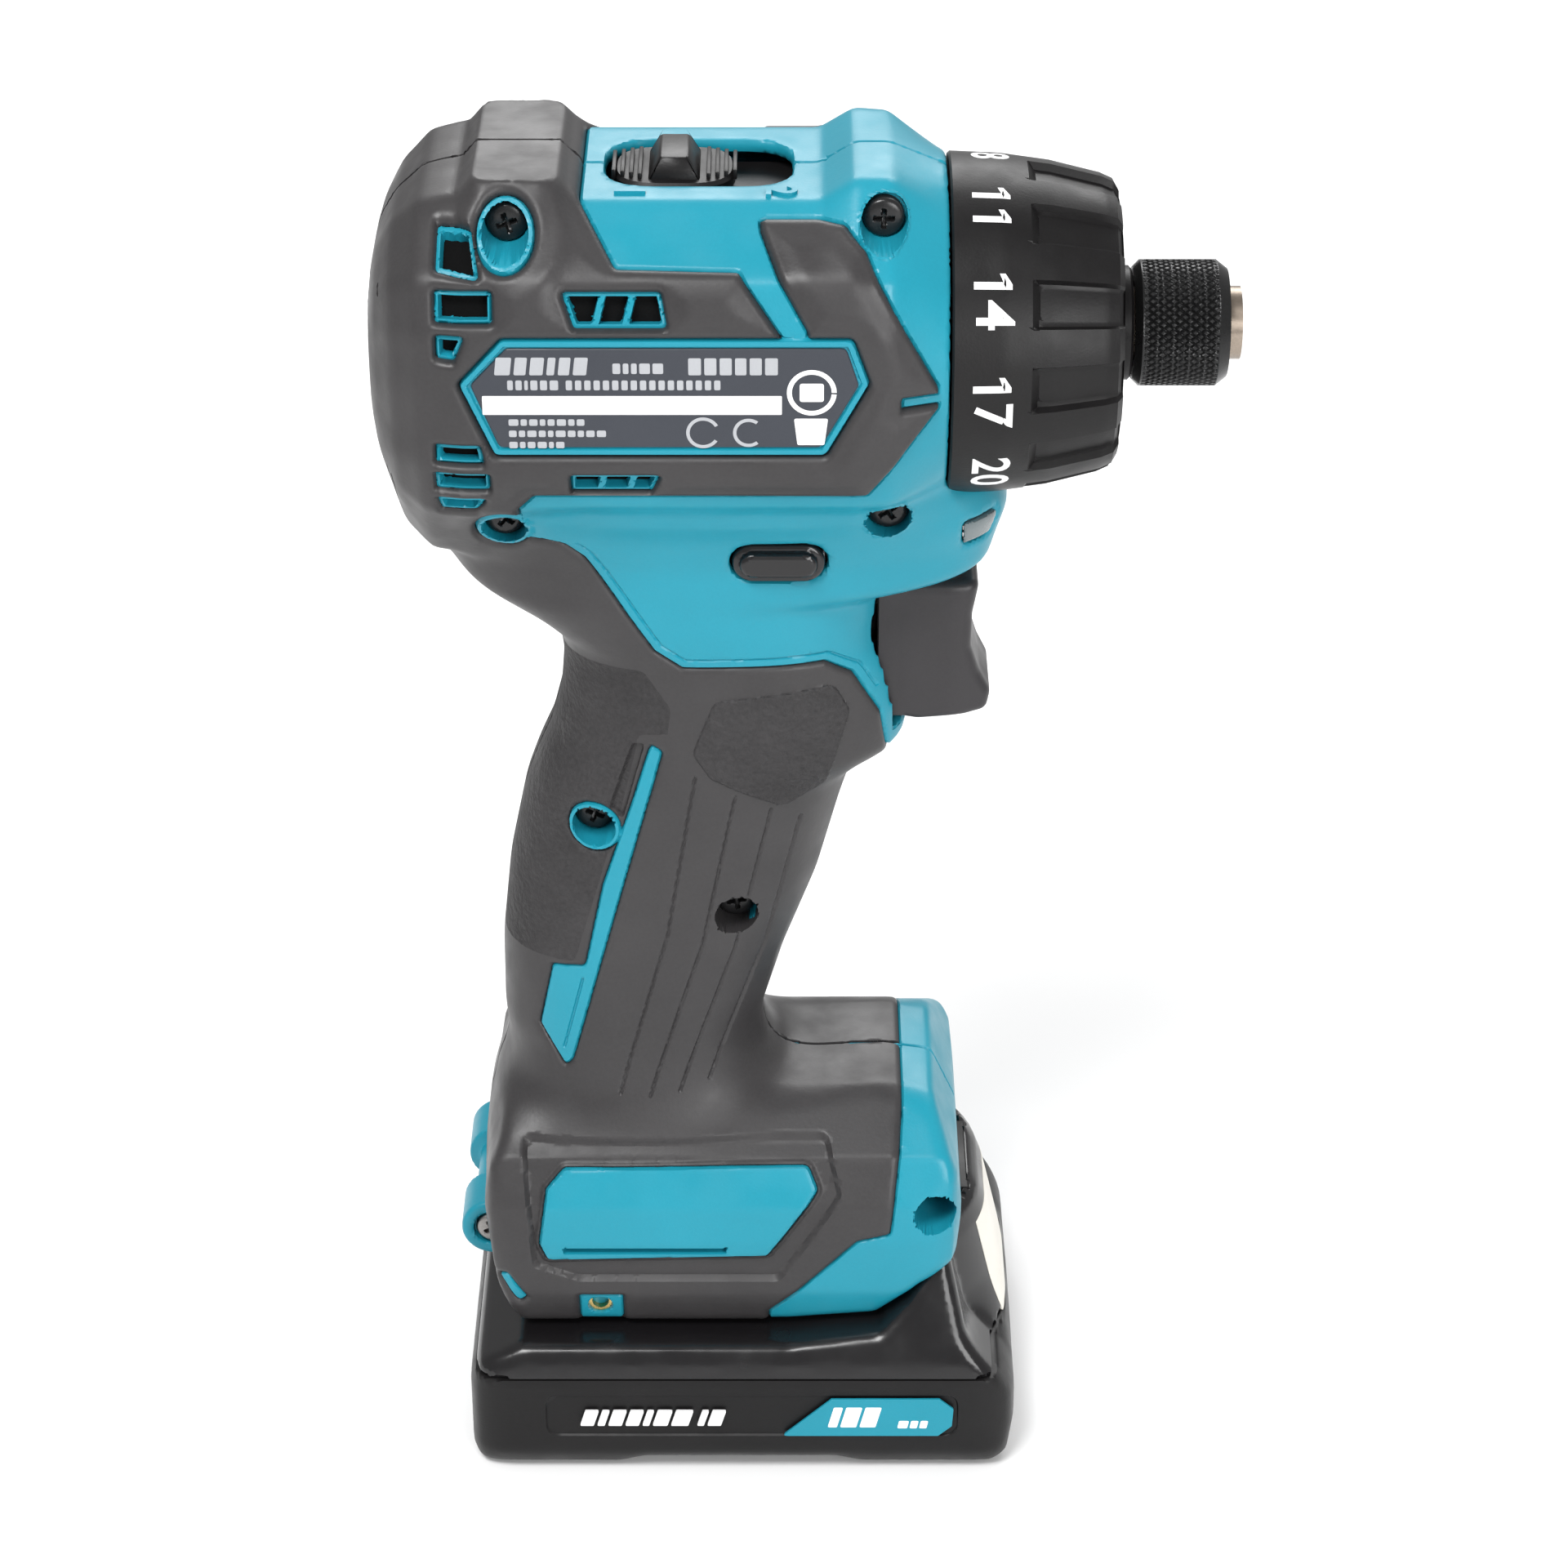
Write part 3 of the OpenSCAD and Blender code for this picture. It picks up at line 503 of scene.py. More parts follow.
# Base colour, roughness and the rest of each finish
FINISHES = {
    "casing_teal": ((0.009, 0.235, 0.32), 0.36, dict(depth=0.03, mottle=0.05, level=0.35)),
    "grip_rubber": ((0.030, 0.0282, 0.0292), 0.44, dict(level=0.4, depth=0.03, mottle=0.14, grain=1800)),
    "grip_texture": (
        (0.028, 0.0265, 0.0275), 0.62,
        dict(depth=0.6, mottle=0.35, grain=1500, cells=0.9, cell_scale=800, level=0.3),
    ),
    "label": ((0.036, 0.040, 0.050), 0.38, dict(depth=0.012, mottle=0.06, level=0.3)),
    "print_white": ((0.80, 0.80, 0.80), 0.45, dict(depth=0.01, mottle=0.04)),
    "print_grey": ((0.36, 0.37, 0.39), 0.5, dict(depth=0.01, mottle=0.05)),
    "print_cream": ((0.78, 0.75, 0.68), 0.4, dict(depth=0.01, mottle=0.04)),
    "screw_black": ((0.012, 0.012, 0.0125), 0.3, dict(metal=0.3, depth=0.02, mottle=0.2)),
    "black_plastic": ((0.007, 0.0065, 0.0072), 0.2, dict(depth=0.008, mottle=0.1, level=0.45)),
    "black_matte": ((0.0065, 0.006, 0.0063), 0.4, dict(depth=0.03, mottle=0.15, level=0.24)),
    # near-black painted shade for the sheets behind the open vent windows
    "vent_dark": ((0.0022, 0.0021, 0.0022), 0.85, dict(depth=0.03, mottle=0.2, level=0.1)),
    "trigger_grey": ((0.030, 0.028, 0.030), 0.42, dict(depth=0.02, mottle=0.08, level=0.3)),
    "brass": ((0.62, 0.44, 0.17), 0.3, dict(metal=1.0, brushed=(0.2, 1, 1), depth=0.012)),
    "steel": ((0.48, 0.48, 0.47), 0.32, dict(metal=1.0, brushed=(0.15, 1, 1), depth=0.012)),
    "gear_steel": ((0.27, 0.26, 0.25), 0.38, dict(metal=1.0, depth=0.02, mottle=0.2)),
    "spindle_steel": (
        (0.30, 0.25, 0.205), 0.3,
        dict(metal=1.0, brushed=(4, 1, 1), depth=0.015, mottle=0.18),
    ),
    "sleeve_black": ((0.017, 0.017, 0.0175), 0.3, dict(metal=0.6, depth=0.02, mottle=0.2)),
    "zinc": ((0.5, 0.5, 0.52), 0.4, dict(metal=1.0, depth=0.03, mottle=0.12)),
    "magnet": ((0.07, 0.07, 0.075), 0.55, dict(metal=0.4, depth=0.04, mottle=0.2)),
    "carbon": ((0.035, 0.035, 0.036), 0.6, dict(depth=0.03, mottle=0.25)),
    "circuit_board": ((0.012, 0.12, 0.045), 0.35, dict(depth=0.02, mottle=0.25, blotch=400)),
    "lens": ((0.13, 0.17, 0.18), 0.1, dict(depth=0.004, mottle=0.08, coat=0.5, transmission=0.3)),
    "cell_wrap": ((0.03, 0.14, 0.45), 0.3, dict(depth=0.01, mottle=0.08, coat=0.2)),
}  # fmt: skip
MATERIALS = {name: material(name, colour, rough, **rest) for name, (colour, rough, rest) in FINISHES.items()}


def finish_cad_nodes():
    """Every CAD part takes the procedural finish of its own material slot."""
    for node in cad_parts.values():
        for slot in node.material_slots:
            name = slot.material.name.split(".")[0]
            if name in MATERIALS:
                slot.material = MATERIALS[name]


# --------------------------------------------------------- casing: the form

# Head sections along the spindle: x, half width, top, bevel scale, bottom, roundness
HEAD_STATIONS = np.array(
    [
        [-63, 14, 10, 0.5, 14, 0.6],
        [-62, 19, 16, 0.72, 20, 0.4],
        [-59, 24, 21, 0.9, 27, 0.1],
        [-55, 27, 24.4, 1, 30, 0],
        [-49, 28, 25.2, 1, 30, 0],
        [-46, 28, 28.5, 1, 29, 0],
        [-38, 28, 28.5, 1, 27, 0],
        [-33, 28, 25, 1, 25, 0],
        [1.5, 28, 25, 1, 25, 0],
        [6.5, 28, 28.2, 1, 25, 0],
        [11.5, 27.6, 28.2, 1, 25, 0.1],
        [19.7, 24.8, 24.8, 1, 24.8, 1],
    ]
)
# Neck and grip sections: height, rear x, front x, half width
GRIP_STATIONS = np.array(
    [
        [174, -50, 20, 20],
        [167, -56.5, 27, 23],
        [162, -57, 30, 20.5],
        [157, -55.4, 28.4, 18.8],
        [151.5, -52, 26.8, 18.4],
        [150, -50.5, 13, 18.2],
        [145, -42.2, 11.8, 18],
        [141, -37.4, 11.6, 17.6],
        [136.3, -36.7, 13.6, 17],
        [129, -37.3, 15.4, 17],
        [122.5, -39, 15, 17],
        [120.5, -39.9, 11, 17],
        [117.3, -41.3, 6.7, 17],
        [111.8, -43.3, 5, 16.6],
        [98.4, -46.1, 1.5, 16.4],
        [84.8, -47.6, -3.6, 16.4],
        [73, -47.7, -7.1, 16.8],
        [66, -47.0, -7.6, 16.8],
        [56, -45.5, -8, 16],
    ]
)[::-1]
GRIP_POWER = 2.6
FOOT_SIDE = rounded(
    [
        (-46, 24.4), (-3, 24.4), (11.2, 26), (17.9, 32.8), (24, 37), (25, 44), (24, 52), (20, 61),
        (12, 62.5), (-4, 61), (-47, 59.5), (-49.7, 53.5), (-51.1, 46), (-49.5, 34), (-47.5, 28),
    ],
    2.5,
)  # fmt: skip
FOOT_END = rounded(
    [
        (-24, 24), (24, 24), (26.5, 32), (27.2, 42), (26.4, 48), (23, 55.5), (12, 62.6),
        (-12, 62.6), (-23, 55.5), (-26.4, 48), (-27.2, 42), (-26.5, 32),
    ],
    1.5,
)  # fmt: skip
FOOT_PLAN = rounded([(-52, -27.5), (25.5, -27.5), (25.5, 27.5), (-52, 27.5)], 9)
WALL = 2.4


def softened(table, sigma, axis=0):
    """Gaussian smoothing of a table along one axis, holding its ends."""
    n = int(math.ceil(3 * sigma))
    kernel = np.exp(-0.5 * (np.arange(-n, n + 1) / sigma) ** 2)
    kernel /= kernel.sum()
    padded = np.concatenate([table.take([0] * n, axis), table, table.take([-1] * n, axis)], axis)
    return np.apply_along_axis(lambda row: np.convolve(row, kernel, "valid"), axis, padded)


def head_radius_table(pitch=0.5, angles=181):
    """Radius of the head casing for each x and angle from straight up, with its edges softened."""
    xs = np.arange(-64, 21, pitch)
    a = np.linspace(0, math.pi, angles)
    u = np.stack([np.sin(a), np.cos(a)])
    rows = []
    for x in xs:
        w, t, k, b, m = (np.interp(x, HEAD_STATIONS[:, 0], HEAD_STATIONS[:, c]) for c in range(1, 6))
        corner = np.array(
            [
                (0, t), (w / 2, t), (w * 26 / 28, 17.5 * k), (w, 10 * k), (w, -10 * k),
                (w * 26 / 28, -17.5 * k), (w / 2, -b), (0, -b),
            ]
        )  # fmt: skip
        d = np.diff(corner, axis=0)
        normal = np.stack([-d[:, 1], d[:, 0]], 1)
        normal /= np.linalg.norm(normal, axis=1, keepdims=True)
        reach = (normal * corner[:-1]).sum(1)
        facing = normal @ u
        r = np.where(facing > 1e-6, reach[:, None] / np.maximum(facing, 1e-6), 1e9).min(0)
        round_r = 1 / np.hypot(u[0] / w, u[1] / t)
        rows.append((1 - m) * r + m * round_r)
    return xs, softened(softened(np.array(rows), 1.1, 0), 1.6, 1)


HEAD_X, HEAD_R = head_radius_table()
GRIP_Z = np.arange(50, 180, 0.5)
GRIP_TABLE = [np.interp(GRIP_Z, GRIP_STATIONS[:, 0], GRIP_STATIONS[:, c]) for c in (1, 2, 3)]
GRIP_TABLE = softened(np.stack(GRIP_TABLE, 1), 2.0)


def head_field(x, y, z):
    up = z - SPINDLE_Z
    r = np.sqrt(y * y + up * up)
    a = np.arctan2(np.abs(y), up) / math.pi * (HEAD_R.shape[1] - 1)
    i = np.clip((x - HEAD_X[0]) / (HEAD_X[1] - HEAD_X[0]), 0, len(HEAD_X) - 1.001)
    i, a = np.broadcast_arrays(i, np.clip(a, 0, HEAD_R.shape[1] - 1.001))
    i0, a0 = i.astype(int), a.astype(int)
    fi, fa = i - i0, a - a0
    low = HEAD_R[i0, a0] * (1 - fa) + HEAD_R[i0, a0 + 1] * fa
    high = HEAD_R[i0 + 1, a0] * (1 - fa) + HEAD_R[i0 + 1, a0 + 1] * fa
    side = r - (low * (1 - fi) + high * fi)
    return smooth_max(smooth_max(side, -63 - x, 1.5), x - 19.8, 0.8)


def grip_field(x, y, z):
    rear, front, half = (np.interp(z, GRIP_Z, GRIP_TABLE[:, c]) for c in range(3))
    across = (x - (rear + front) / 2) / ((front - rear) / 2)
    side = y / half
    power = (np.abs(across) ** GRIP_POWER + np.abs(side) ** GRIP_POWER) ** (1 / GRIP_POWER)
    r = np.sqrt((x - (rear + front) / 2) ** 2 + y * y)
    radial = r - r / np.maximum(power, 1e-4)
    return np.maximum(np.maximum(radial, z - 174), 54 - z)


def foot_field(x, y, z):
    side = -inside_by(x, z, FOOT_SIDE)
    end = -inside_by(y, z, FOOT_END)
    plan = -inside_by(x, y, FOOT_PLAN)
    return smooth_max(smooth_max(side, end, 2.0), plan, 2.0)


def casing_field(x, y, z):
    """Outer form of the casing, both halves, before any colour break or opening."""
    upper = smooth_min(head_field(x, y, z), grip_field(x, y, z), 5.0)
    return smooth_min(upper, foot_field(x, y, z), 11.0)


def box_field(x, y, z, low, high):
    d = [np.maximum(lo - c, c - hi) for c, lo, hi in zip((x, y, z), low, high)]
    return np.maximum(np.maximum(d[0], d[1]), d[2])


SELECTOR_SLOT = rounded([(-29.0, -8.5), (-2.4, -8.5), (-2.4, 8.5), (-29.0, 8.5)], 7, 9)
BUTTON_LINE = [(-8.1, 158.9), (-0.7, 158.9)]
BUTTON_R = 3.1
LENS_BOX = ((22.6, 8.2, 158.4), (30, 20, 162.6))


def openings_field(x, y, z):
    """Negative inside the openings: trigger, battery rail, latch, selector slot, front, button and lens."""
    trigger = box_field(x, y, z, (5.4, -8.9, 125.6), (60, 8.9, 150.6))
    rail = box_field(x, y, z, (-38, -17.2, 10), (60, 17.2, 31.4))
    latch = box_field(x, y, z, (21.3, -10.5, 30), (60, 10.5, 42))
    slot = np.maximum(-inside_by(x, y, SELECTOR_SLOT), 205 - z)
    bore = np.maximum(np.hypot(y, z - SPINDLE_Z) - 23.4, 4 - x)
    button = np.maximum(-near_line(x, z, BUTTON_LINE, BUTTON_R + 0.35), 12 - np.abs(y))
    lens = box_field(x, np.abs(y), z, *LENS_BOX)
    cuts = (trigger, rail, latch, slot, bore, button, lens)
    return functools.reduce(np.minimum, cuts)


def half_casing_field(x, y, z):
    """One half of the casing as a hollow shell on the -Y side."""
    outer = casing_field(x, y, z)
    shell = np.maximum(outer, -(outer + WALL))
    opened = smooth_max(shell, -openings_field(x, y, z), 0.8)
    return np.maximum(opened, y + 0.04)


# ------------------------------------------------ casing: the colour breaks

# Side views in (x, z). The rubber starts as one outline and the teal islands are taken out of it.
RUBBER = rounded(
    [
        (-80, 230), (-34, 230), (-33.2, 214.5), (-27.1, 207.3), (-9.8, 207), (-3.8, 198.4), (0.4, 198.1),
        (-7.5, 211.8), (4.9, 211.8), (7.9, 209.2), (18.2, 189.9), (18.3, 186.8), (8.3, 173.5),
        (-39.2, 173.6), (-41.6, 170.8), (-41.5, 166.8), (-40.5, 163.2),
        (-35.7, 161.9), (-32.8, 159.5), (-22.9, 143.2), (-18.7, 140.2),
        (2.5, 140.5), (6.7, 137.7), (11.0, 130.0), (12.6, 119.5), (60, 119.5), (60, 80), (16, 80), (15, 60),
        (13.2, 43.3), (8, 42), (-6, 27), (-6, 10), (-80, 10),
    ],
    0.8,
    3,
)  # fmt: skip
LABEL = rounded(
    [(-49.4, 191.6), (-43.2, 198.5), (6.1, 198.5), (8.5, 191.6), (2.4, 180.5), (-44.6, 180.5)], 1.2
)  # fmt: skip
VENTS = [
    rounded(v, 0.5, 3)
    for v in (
        [(-52.2, 211.2), (-47.4, 211.2), (-46.0, 206.2), (-52.2, 207.0)],
        [(-52.4, 204.9), (-44.3, 204.9), (-44.3, 200.5), (-52.4, 200.5)],
        [(-52.4, 198.7), (-48.2, 198.7), (-49.8, 195.0), (-52.4, 195.2)],
        [(-53.0, 182.0), (-46.6, 182.0), (-46.0, 179.0), (-53.0, 179.0)],
        [(-53.2, 177.5), (-45.4, 177.5), (-45.4, 174.4), (-53.2, 174.4)],
        [(-53.2, 173.0), (-45.8, 173.0), (-47.6, 170.4), (-52.6, 170.4)],
        [(-34.6, 204.8), (-20.8, 204.8), (-19.9, 199.9), (-32.9, 199.9)],
        [(-33.9, 177.3), (-21.0, 177.3), (-22.4, 174.2), (-33.9, 174.2)],
    )
]
RIBBED_VENTS = (6, 7)
# Screw bosses: x, z, ring radius (0 where the hole has no ring) and bore radius
BOSSES = [
    (-42.5, 211.0, 4.2, 3.3),
    (-44.2, 165.2, 4.1, 3.3),
    (10.4, 211.8, 3.6, 3.3),
    (11.5, 166.6, 3.6, 3.3),
    (-32.5, 111.6, 4.1, 3.3),
    (-11.0, 95.9, 0.0, 3.3),
    (20.3, 46.5, 0.0, 3.3),
]
SCREW_SEATS = (14.3, 15, 14.6, 15.6, 9, 9, 15.6)
STRIP = rounded(
    [
        (-23.7, 126.7), (-21.9, 125.3), (-36.7, 69.6), (-38.0, 68.0), (-42.0, 75.0), (-39.7, 86.2),
        (-34.5, 86.8), (-31.5, 101.5), (-27.6, 113.8),
    ],
    0.7,
    3,
)  # fmt: skip
CLIP_PLATE = rounded([(-36.3, 25.0), (-29.3, 25.0), (-29.3, 31.0), (-36.3, 31.0)], 0.5, 3)
PANEL = rounded(
    [(-38.2, 54.2), (0.2, 54.5), (1.8, 50.8), (-6.2, 39.2), (-41.2, 38.4), (-42.4, 41.6), (-41.1, 51.1)],
    1.2,
    4,
)  # fmt: skip
NECK_AREA = [(-38, 162.2), (-36, 152), (-24, 134), (14, 134), (14, 142), (-16, 147), (-32, 162.4)]
PANEL_SLOT = rounded([(-38.6, 39.9), (-12.7, 39.9), (-12.7, 41.1), (-38.6, 41.1)], 0.3, 3)
NOTCH = [(13, 187.3), (20, 187.3), (20, 188.9), (13, 188.9)]
CLIP_BORE = (-33.0, 28.6, 2.0)
LEAF_LINE = [(-34.9, 84.4), (-38.1, 71.6)]
LUG_SLIVER = rounded([(-49.2, 35.0), (-47.6, 35.4), (-44.6, 30.6), (-45.6, 29.6), (-46.6, 30.4)], 0.4, 3)
PAD = rounded(
    [(-14, 134.6), (3.7, 136.7), (6.2, 131.8), (2.6, 119.1), (-3.6, 115.5), (-14.7, 121.2), (-17.4, 125.5)],
    2.2,
    5,
)  # fmt: skip
REAR_TEXTURE = rounded(
    [
        (-60, 139), (-24.5, 139.5), (-20.5, 133.0), (-21.0, 128.6), (-25.4, 128.2), (-28.8, 113.5),
        (-36, 87.5), (-60, 87.5),
    ],
    1.2,
    3,
)  # fmt: skip
SIDE_RECESS = rounded([(-26.4, 126.6), (-24.4, 126.9), (-28.0, 113.8), (-30.2, 115.4)], 0.5, 3)
LEDGE = rounded([(-45, 58), (3.5, 58), (5.6, 50), (-4.2, 34.2), (-36.4, 34.2), (-43.5, 37.0)], 1.5, 4)
TEAL_GROOVE_HALF = 0.26
NECK_GROOVE_GAP = 1.5  # from the edge of the neck rubber to the middle of its groove
GRIP_GROOVE_HALF = 0.36
RIBS = (-29.4, -25.2)
VENT_FRAME = 0.55
GROOVE_TOP = [(-17.0, 121.4), (-11.0, 118.0), (-5.6, 115.2), (-1.2, 112.8)]
GROOVE_BOTTOM = [(-29.3, 64.4), (-24.6, 64.0), (-20.0, 64.6), (-15.4, 66.0)]


def rubber_inside(x, z):
    """How far a point of the side view lies inside the rubber; negative in teal."""
    d = inside_by(x, z, RUBBER)
    for island in (LABEL, STRIP, CLIP_PLATE, PANEL, LUG_SLIVER, NOTCH, *VENTS):
        d = np.minimum(d, -inside_by(x, z, island))
    for bx, bz, ring, _ in BOSSES:
        if ring:
            d = np.minimum(d, -in_disc(x, z, (bx, bz), ring))
    channel = near_line(x, z, [(-44.2, 165.4), (-39, 164.6)], 1.9)
    return np.minimum(d, -channel)


def vents_inside(x, z):
    return np.max([inside_by(x, z, v) for v in VENTS], 0)


def teal_lines(x, z):
    """Thin grooves in the teal: one that follows the edge of the neck rubber, and one in the grip leaf."""
    follow = TEAL_GROOVE_HALF - np.abs(rubber_inside(x, z) + NECK_GROOVE_GAP)
    neck = inside_by(x, z, NECK_AREA)
    leaf = near_line(x, z, LEAF_LINE, TEAL_GROOVE_HALF)
    return np.maximum(np.minimum(follow, neck), leaf)


def neck_groove_line(x, z):
    """Zero along the middle of the groove that follows the neck rubber."""
    return np.where(inside_by(x, z, NECK_AREA) > 0, rubber_inside(x, z) + NECK_GROOVE_GAP, FAR_OUTSIDE)


def vent_windows(x, z):
    """How far a point lies inside an open window of a vent."""
    d = np.full(np.shape(x), FAR_OUTSIDE)
    for n, outline in enumerate(VENTS):
        window = inside_by(x, z, outline) - VENT_FRAME
        if n in RIBBED_VENTS:
            for rib in RIBS:
                slant = x - rib - 0.25 * (z - np.mean(outline[:, 1]))
                window = np.minimum(window, np.abs(slant) - 0.45)
        d = np.maximum(d, window)
    return d


def boss_bores(x, z):
    d = np.full(np.shape(x), FAR_OUTSIDE)
    for bx, bz, _, bore in BOSSES:
        d = np.maximum(d, in_disc(x, z, (bx, bz), bore))
    return d


def grip_grooves(x, z):
    """Long shallow grooves that run down the side of the grip."""
    return np.max([near_line(x, z, line, GRIP_GROOVE_HALF) for line in groove_lines()], 0)


def beside_line(a, b, points):
    """Signed distance to the nearest stretch of an open line: one sign on each side of it."""
    best, side = np.full(np.shape(a), 1e9), np.zeros(np.shape(a))
    for (a0, b0), (a1, b1) in zip(points[:-1], points[1:]):
        da, db = a1 - a0, b1 - b0
        t = np.clip(((a - a0) * da + (b - b0) * db) / (da * da + db * db), 0, 1)
        d = np.hypot(a - a0 - t * da, b - b0 - t * db)
        cross = da * (b - b0) - db * (a - a0)
        side = np.where(d < best, np.sign(cross) * d, side)
        best = np.minimum(best, d)
    return side


def groove_lines():
    lines = []
    for top, bottom in zip(GROOVE_TOP, GROOVE_BOTTOM):
        middle = ((top[0] + bottom[0]) / 2 + 1.6, (top[1] + bottom[1]) / 2)
        lines.append([top, middle, bottom])
    return lines


def fine_detail(x, z):
    """Where the side view needs a finer mesh: beside every edge and groove."""
    near = np.abs(rubber_inside(x, z)) < 0.6
    near |= (vents_inside(x, z) > -0.9) | (grip_grooves(x, z) > -0.7) | (teal_lines(x, z) > -0.7)
    near |= (boss_bores(x, z) > -0.9) & (boss_bores(x, z) < 0.9)
    near |= in_clip_bore(x, z) > -0.7
    for outline in (LABEL, PANEL, PANEL_SLOT, PAD, SIDE_RECESS):
        d = inside_by(x, z, outline)
        near |= (d > -0.6) & (d < 1.5)
    return near


def outer_only(fn, column=0):
    """A side-view field for the outer wall alone, or for the inner wall with column 1."""

    def field(points, extra):
        value = fn(points[:, 0], points[:, 2])
        return np.where(extra[:, column] > MARK, value, FAR_OUTSIDE)

    return field


def within(outline):
    return outer_only(lambda x, z: inside_by(x, z, outline))


def in_clip_bore(x, z):
    return in_disc(x, z, CLIP_BORE[:2], CLIP_BORE[2])


CASING_CUTS = [
    (outer_only(rubber_inside), (-0.35, 0.0, 0.22, 0.6, 1.1)),
    (outer_only(vent_windows), (0.0, 0.16)),
    (outer_only(boss_bores), (0.0, 0.2)),
    (within(LABEL), (1.0, 1.2)),
    (within(PANEL), (1.0,)),
    (within(PANEL_SLOT), (0.0, 0.15)),
    (within(PAD), (0.0, 0.35)),
    (within(REAR_TEXTURE), (0.0,)),
    (within(SIDE_RECESS), (0.0, 0.3)),
    (within(LEDGE), (0.0, 0.8)),
    *((outer_only(lambda x, z, line=line: beside_line(x, z, line)), (0.0,)) for line in groove_lines()),
    (outer_only(grip_grooves), (0.0, 0.3)),
    (outer_only(neck_groove_line), (0.0,)),
    (outer_only(lambda x, z: beside_line(x, z, LEAF_LINE)), (0.0,)),
    (outer_only(teal_lines), (0.0, 0.16)),
    (outer_only(lambda x, z: boss_bores(x, z) + 1.1, 1), (0.0, 0.2)),
    (outer_only(in_clip_bore), (0.0, 0.2)),
]


SEAM_DEPTH = 0.45  # of the line where teal and rubber meet
RAISED = 0.45  # label frame and foot panel over the casing
WINDOW_DEPTH = 1.9


def rubber_raise(x, z):
    """How proud the rubber stands: thick pads on the head, nearly flush on the grip and foot."""
    head = ease((z - 168) / 8)
    rear = ease((-50 - x) / 8)
    return 0.30 + 0.65 * head * (1 - rear)


def teal_height(x, z):
    """Height of the casing over its outer form: islands stand up, and it sinks below the rubber."""
    d = rubber_inside(x, z)
    shore = unit(-d / 0.35)
    windows = vent_windows(x, z)
    island = np.where(vents_inside(x, z) > 0, -0.3 - WINDOW_DEPTH * unit(windows / 0.16), 0.0)
    for bx, bz, ring, _ in BOSSES:
        island = np.where(np.hypot(x - bx, z - bz) < ring, 0.2, island)
    label = inside_by(x, z, LABEL)
    island = np.where(label > 0, RAISED - 0.5 * unit((label - 1.0) / 0.2), island)
    panel = inside_by(x, z, PANEL)
    slot_cut = 2.0 * unit(inside_by(x, z, PANEL_SLOT) / 0.15)
    island = np.where(panel > 0, RAISED * step(panel) - slot_cut, island)
    island = island - 0.28 * unit(teal_lines(x, z) / 0.16)
    h = -SEAM_DEPTH * (1 - shore) + shore * island
    return np.where(d > 0, -SEAM_DEPTH - 0.6 * step(d / 0.22), h)


def rubber_height(x, z):
    d = rubber_inside(x, z)
    h = -SEAM_DEPTH + (SEAM_DEPTH + rubber_raise(x, z)) * step(d / 1.1)
    on_head = ease((z - 172) / 4)
    h = h + 0.45 * ease((d - 0.9) / 2.6) * on_head * (1 - ease((-44 - x) / 6))
    pad = inside_by(x, z, PAD)
    h = h + 0.35 * step(pad / 0.35)
    h = h - 0.8 * ease(inside_by(x, z, SIDE_RECESS) / 0.3)
    h = h - 0.3 * ease(grip_grooves(x, z) / 0.3)
    ledge = inside_by(x, z, LEDGE)
    h = h - 0.9 * ease(ledge / 0.8) * (d > 0) * (1 - ease(inside_by(x, z, PANEL) + 1))
    return h


def within_box(points):
    """Keeps raised surfaces inside the box of the CAD model."""
    low = np.array(cad_box[0]) / MM + 0.02
    high = np.array(cad_box[1]) / MM - 0.02
    return np.clip(points, low, high)


CASING_PITCH = 0.74
RIM_SOFT = 0.2  # width over which the wall of a bore falls


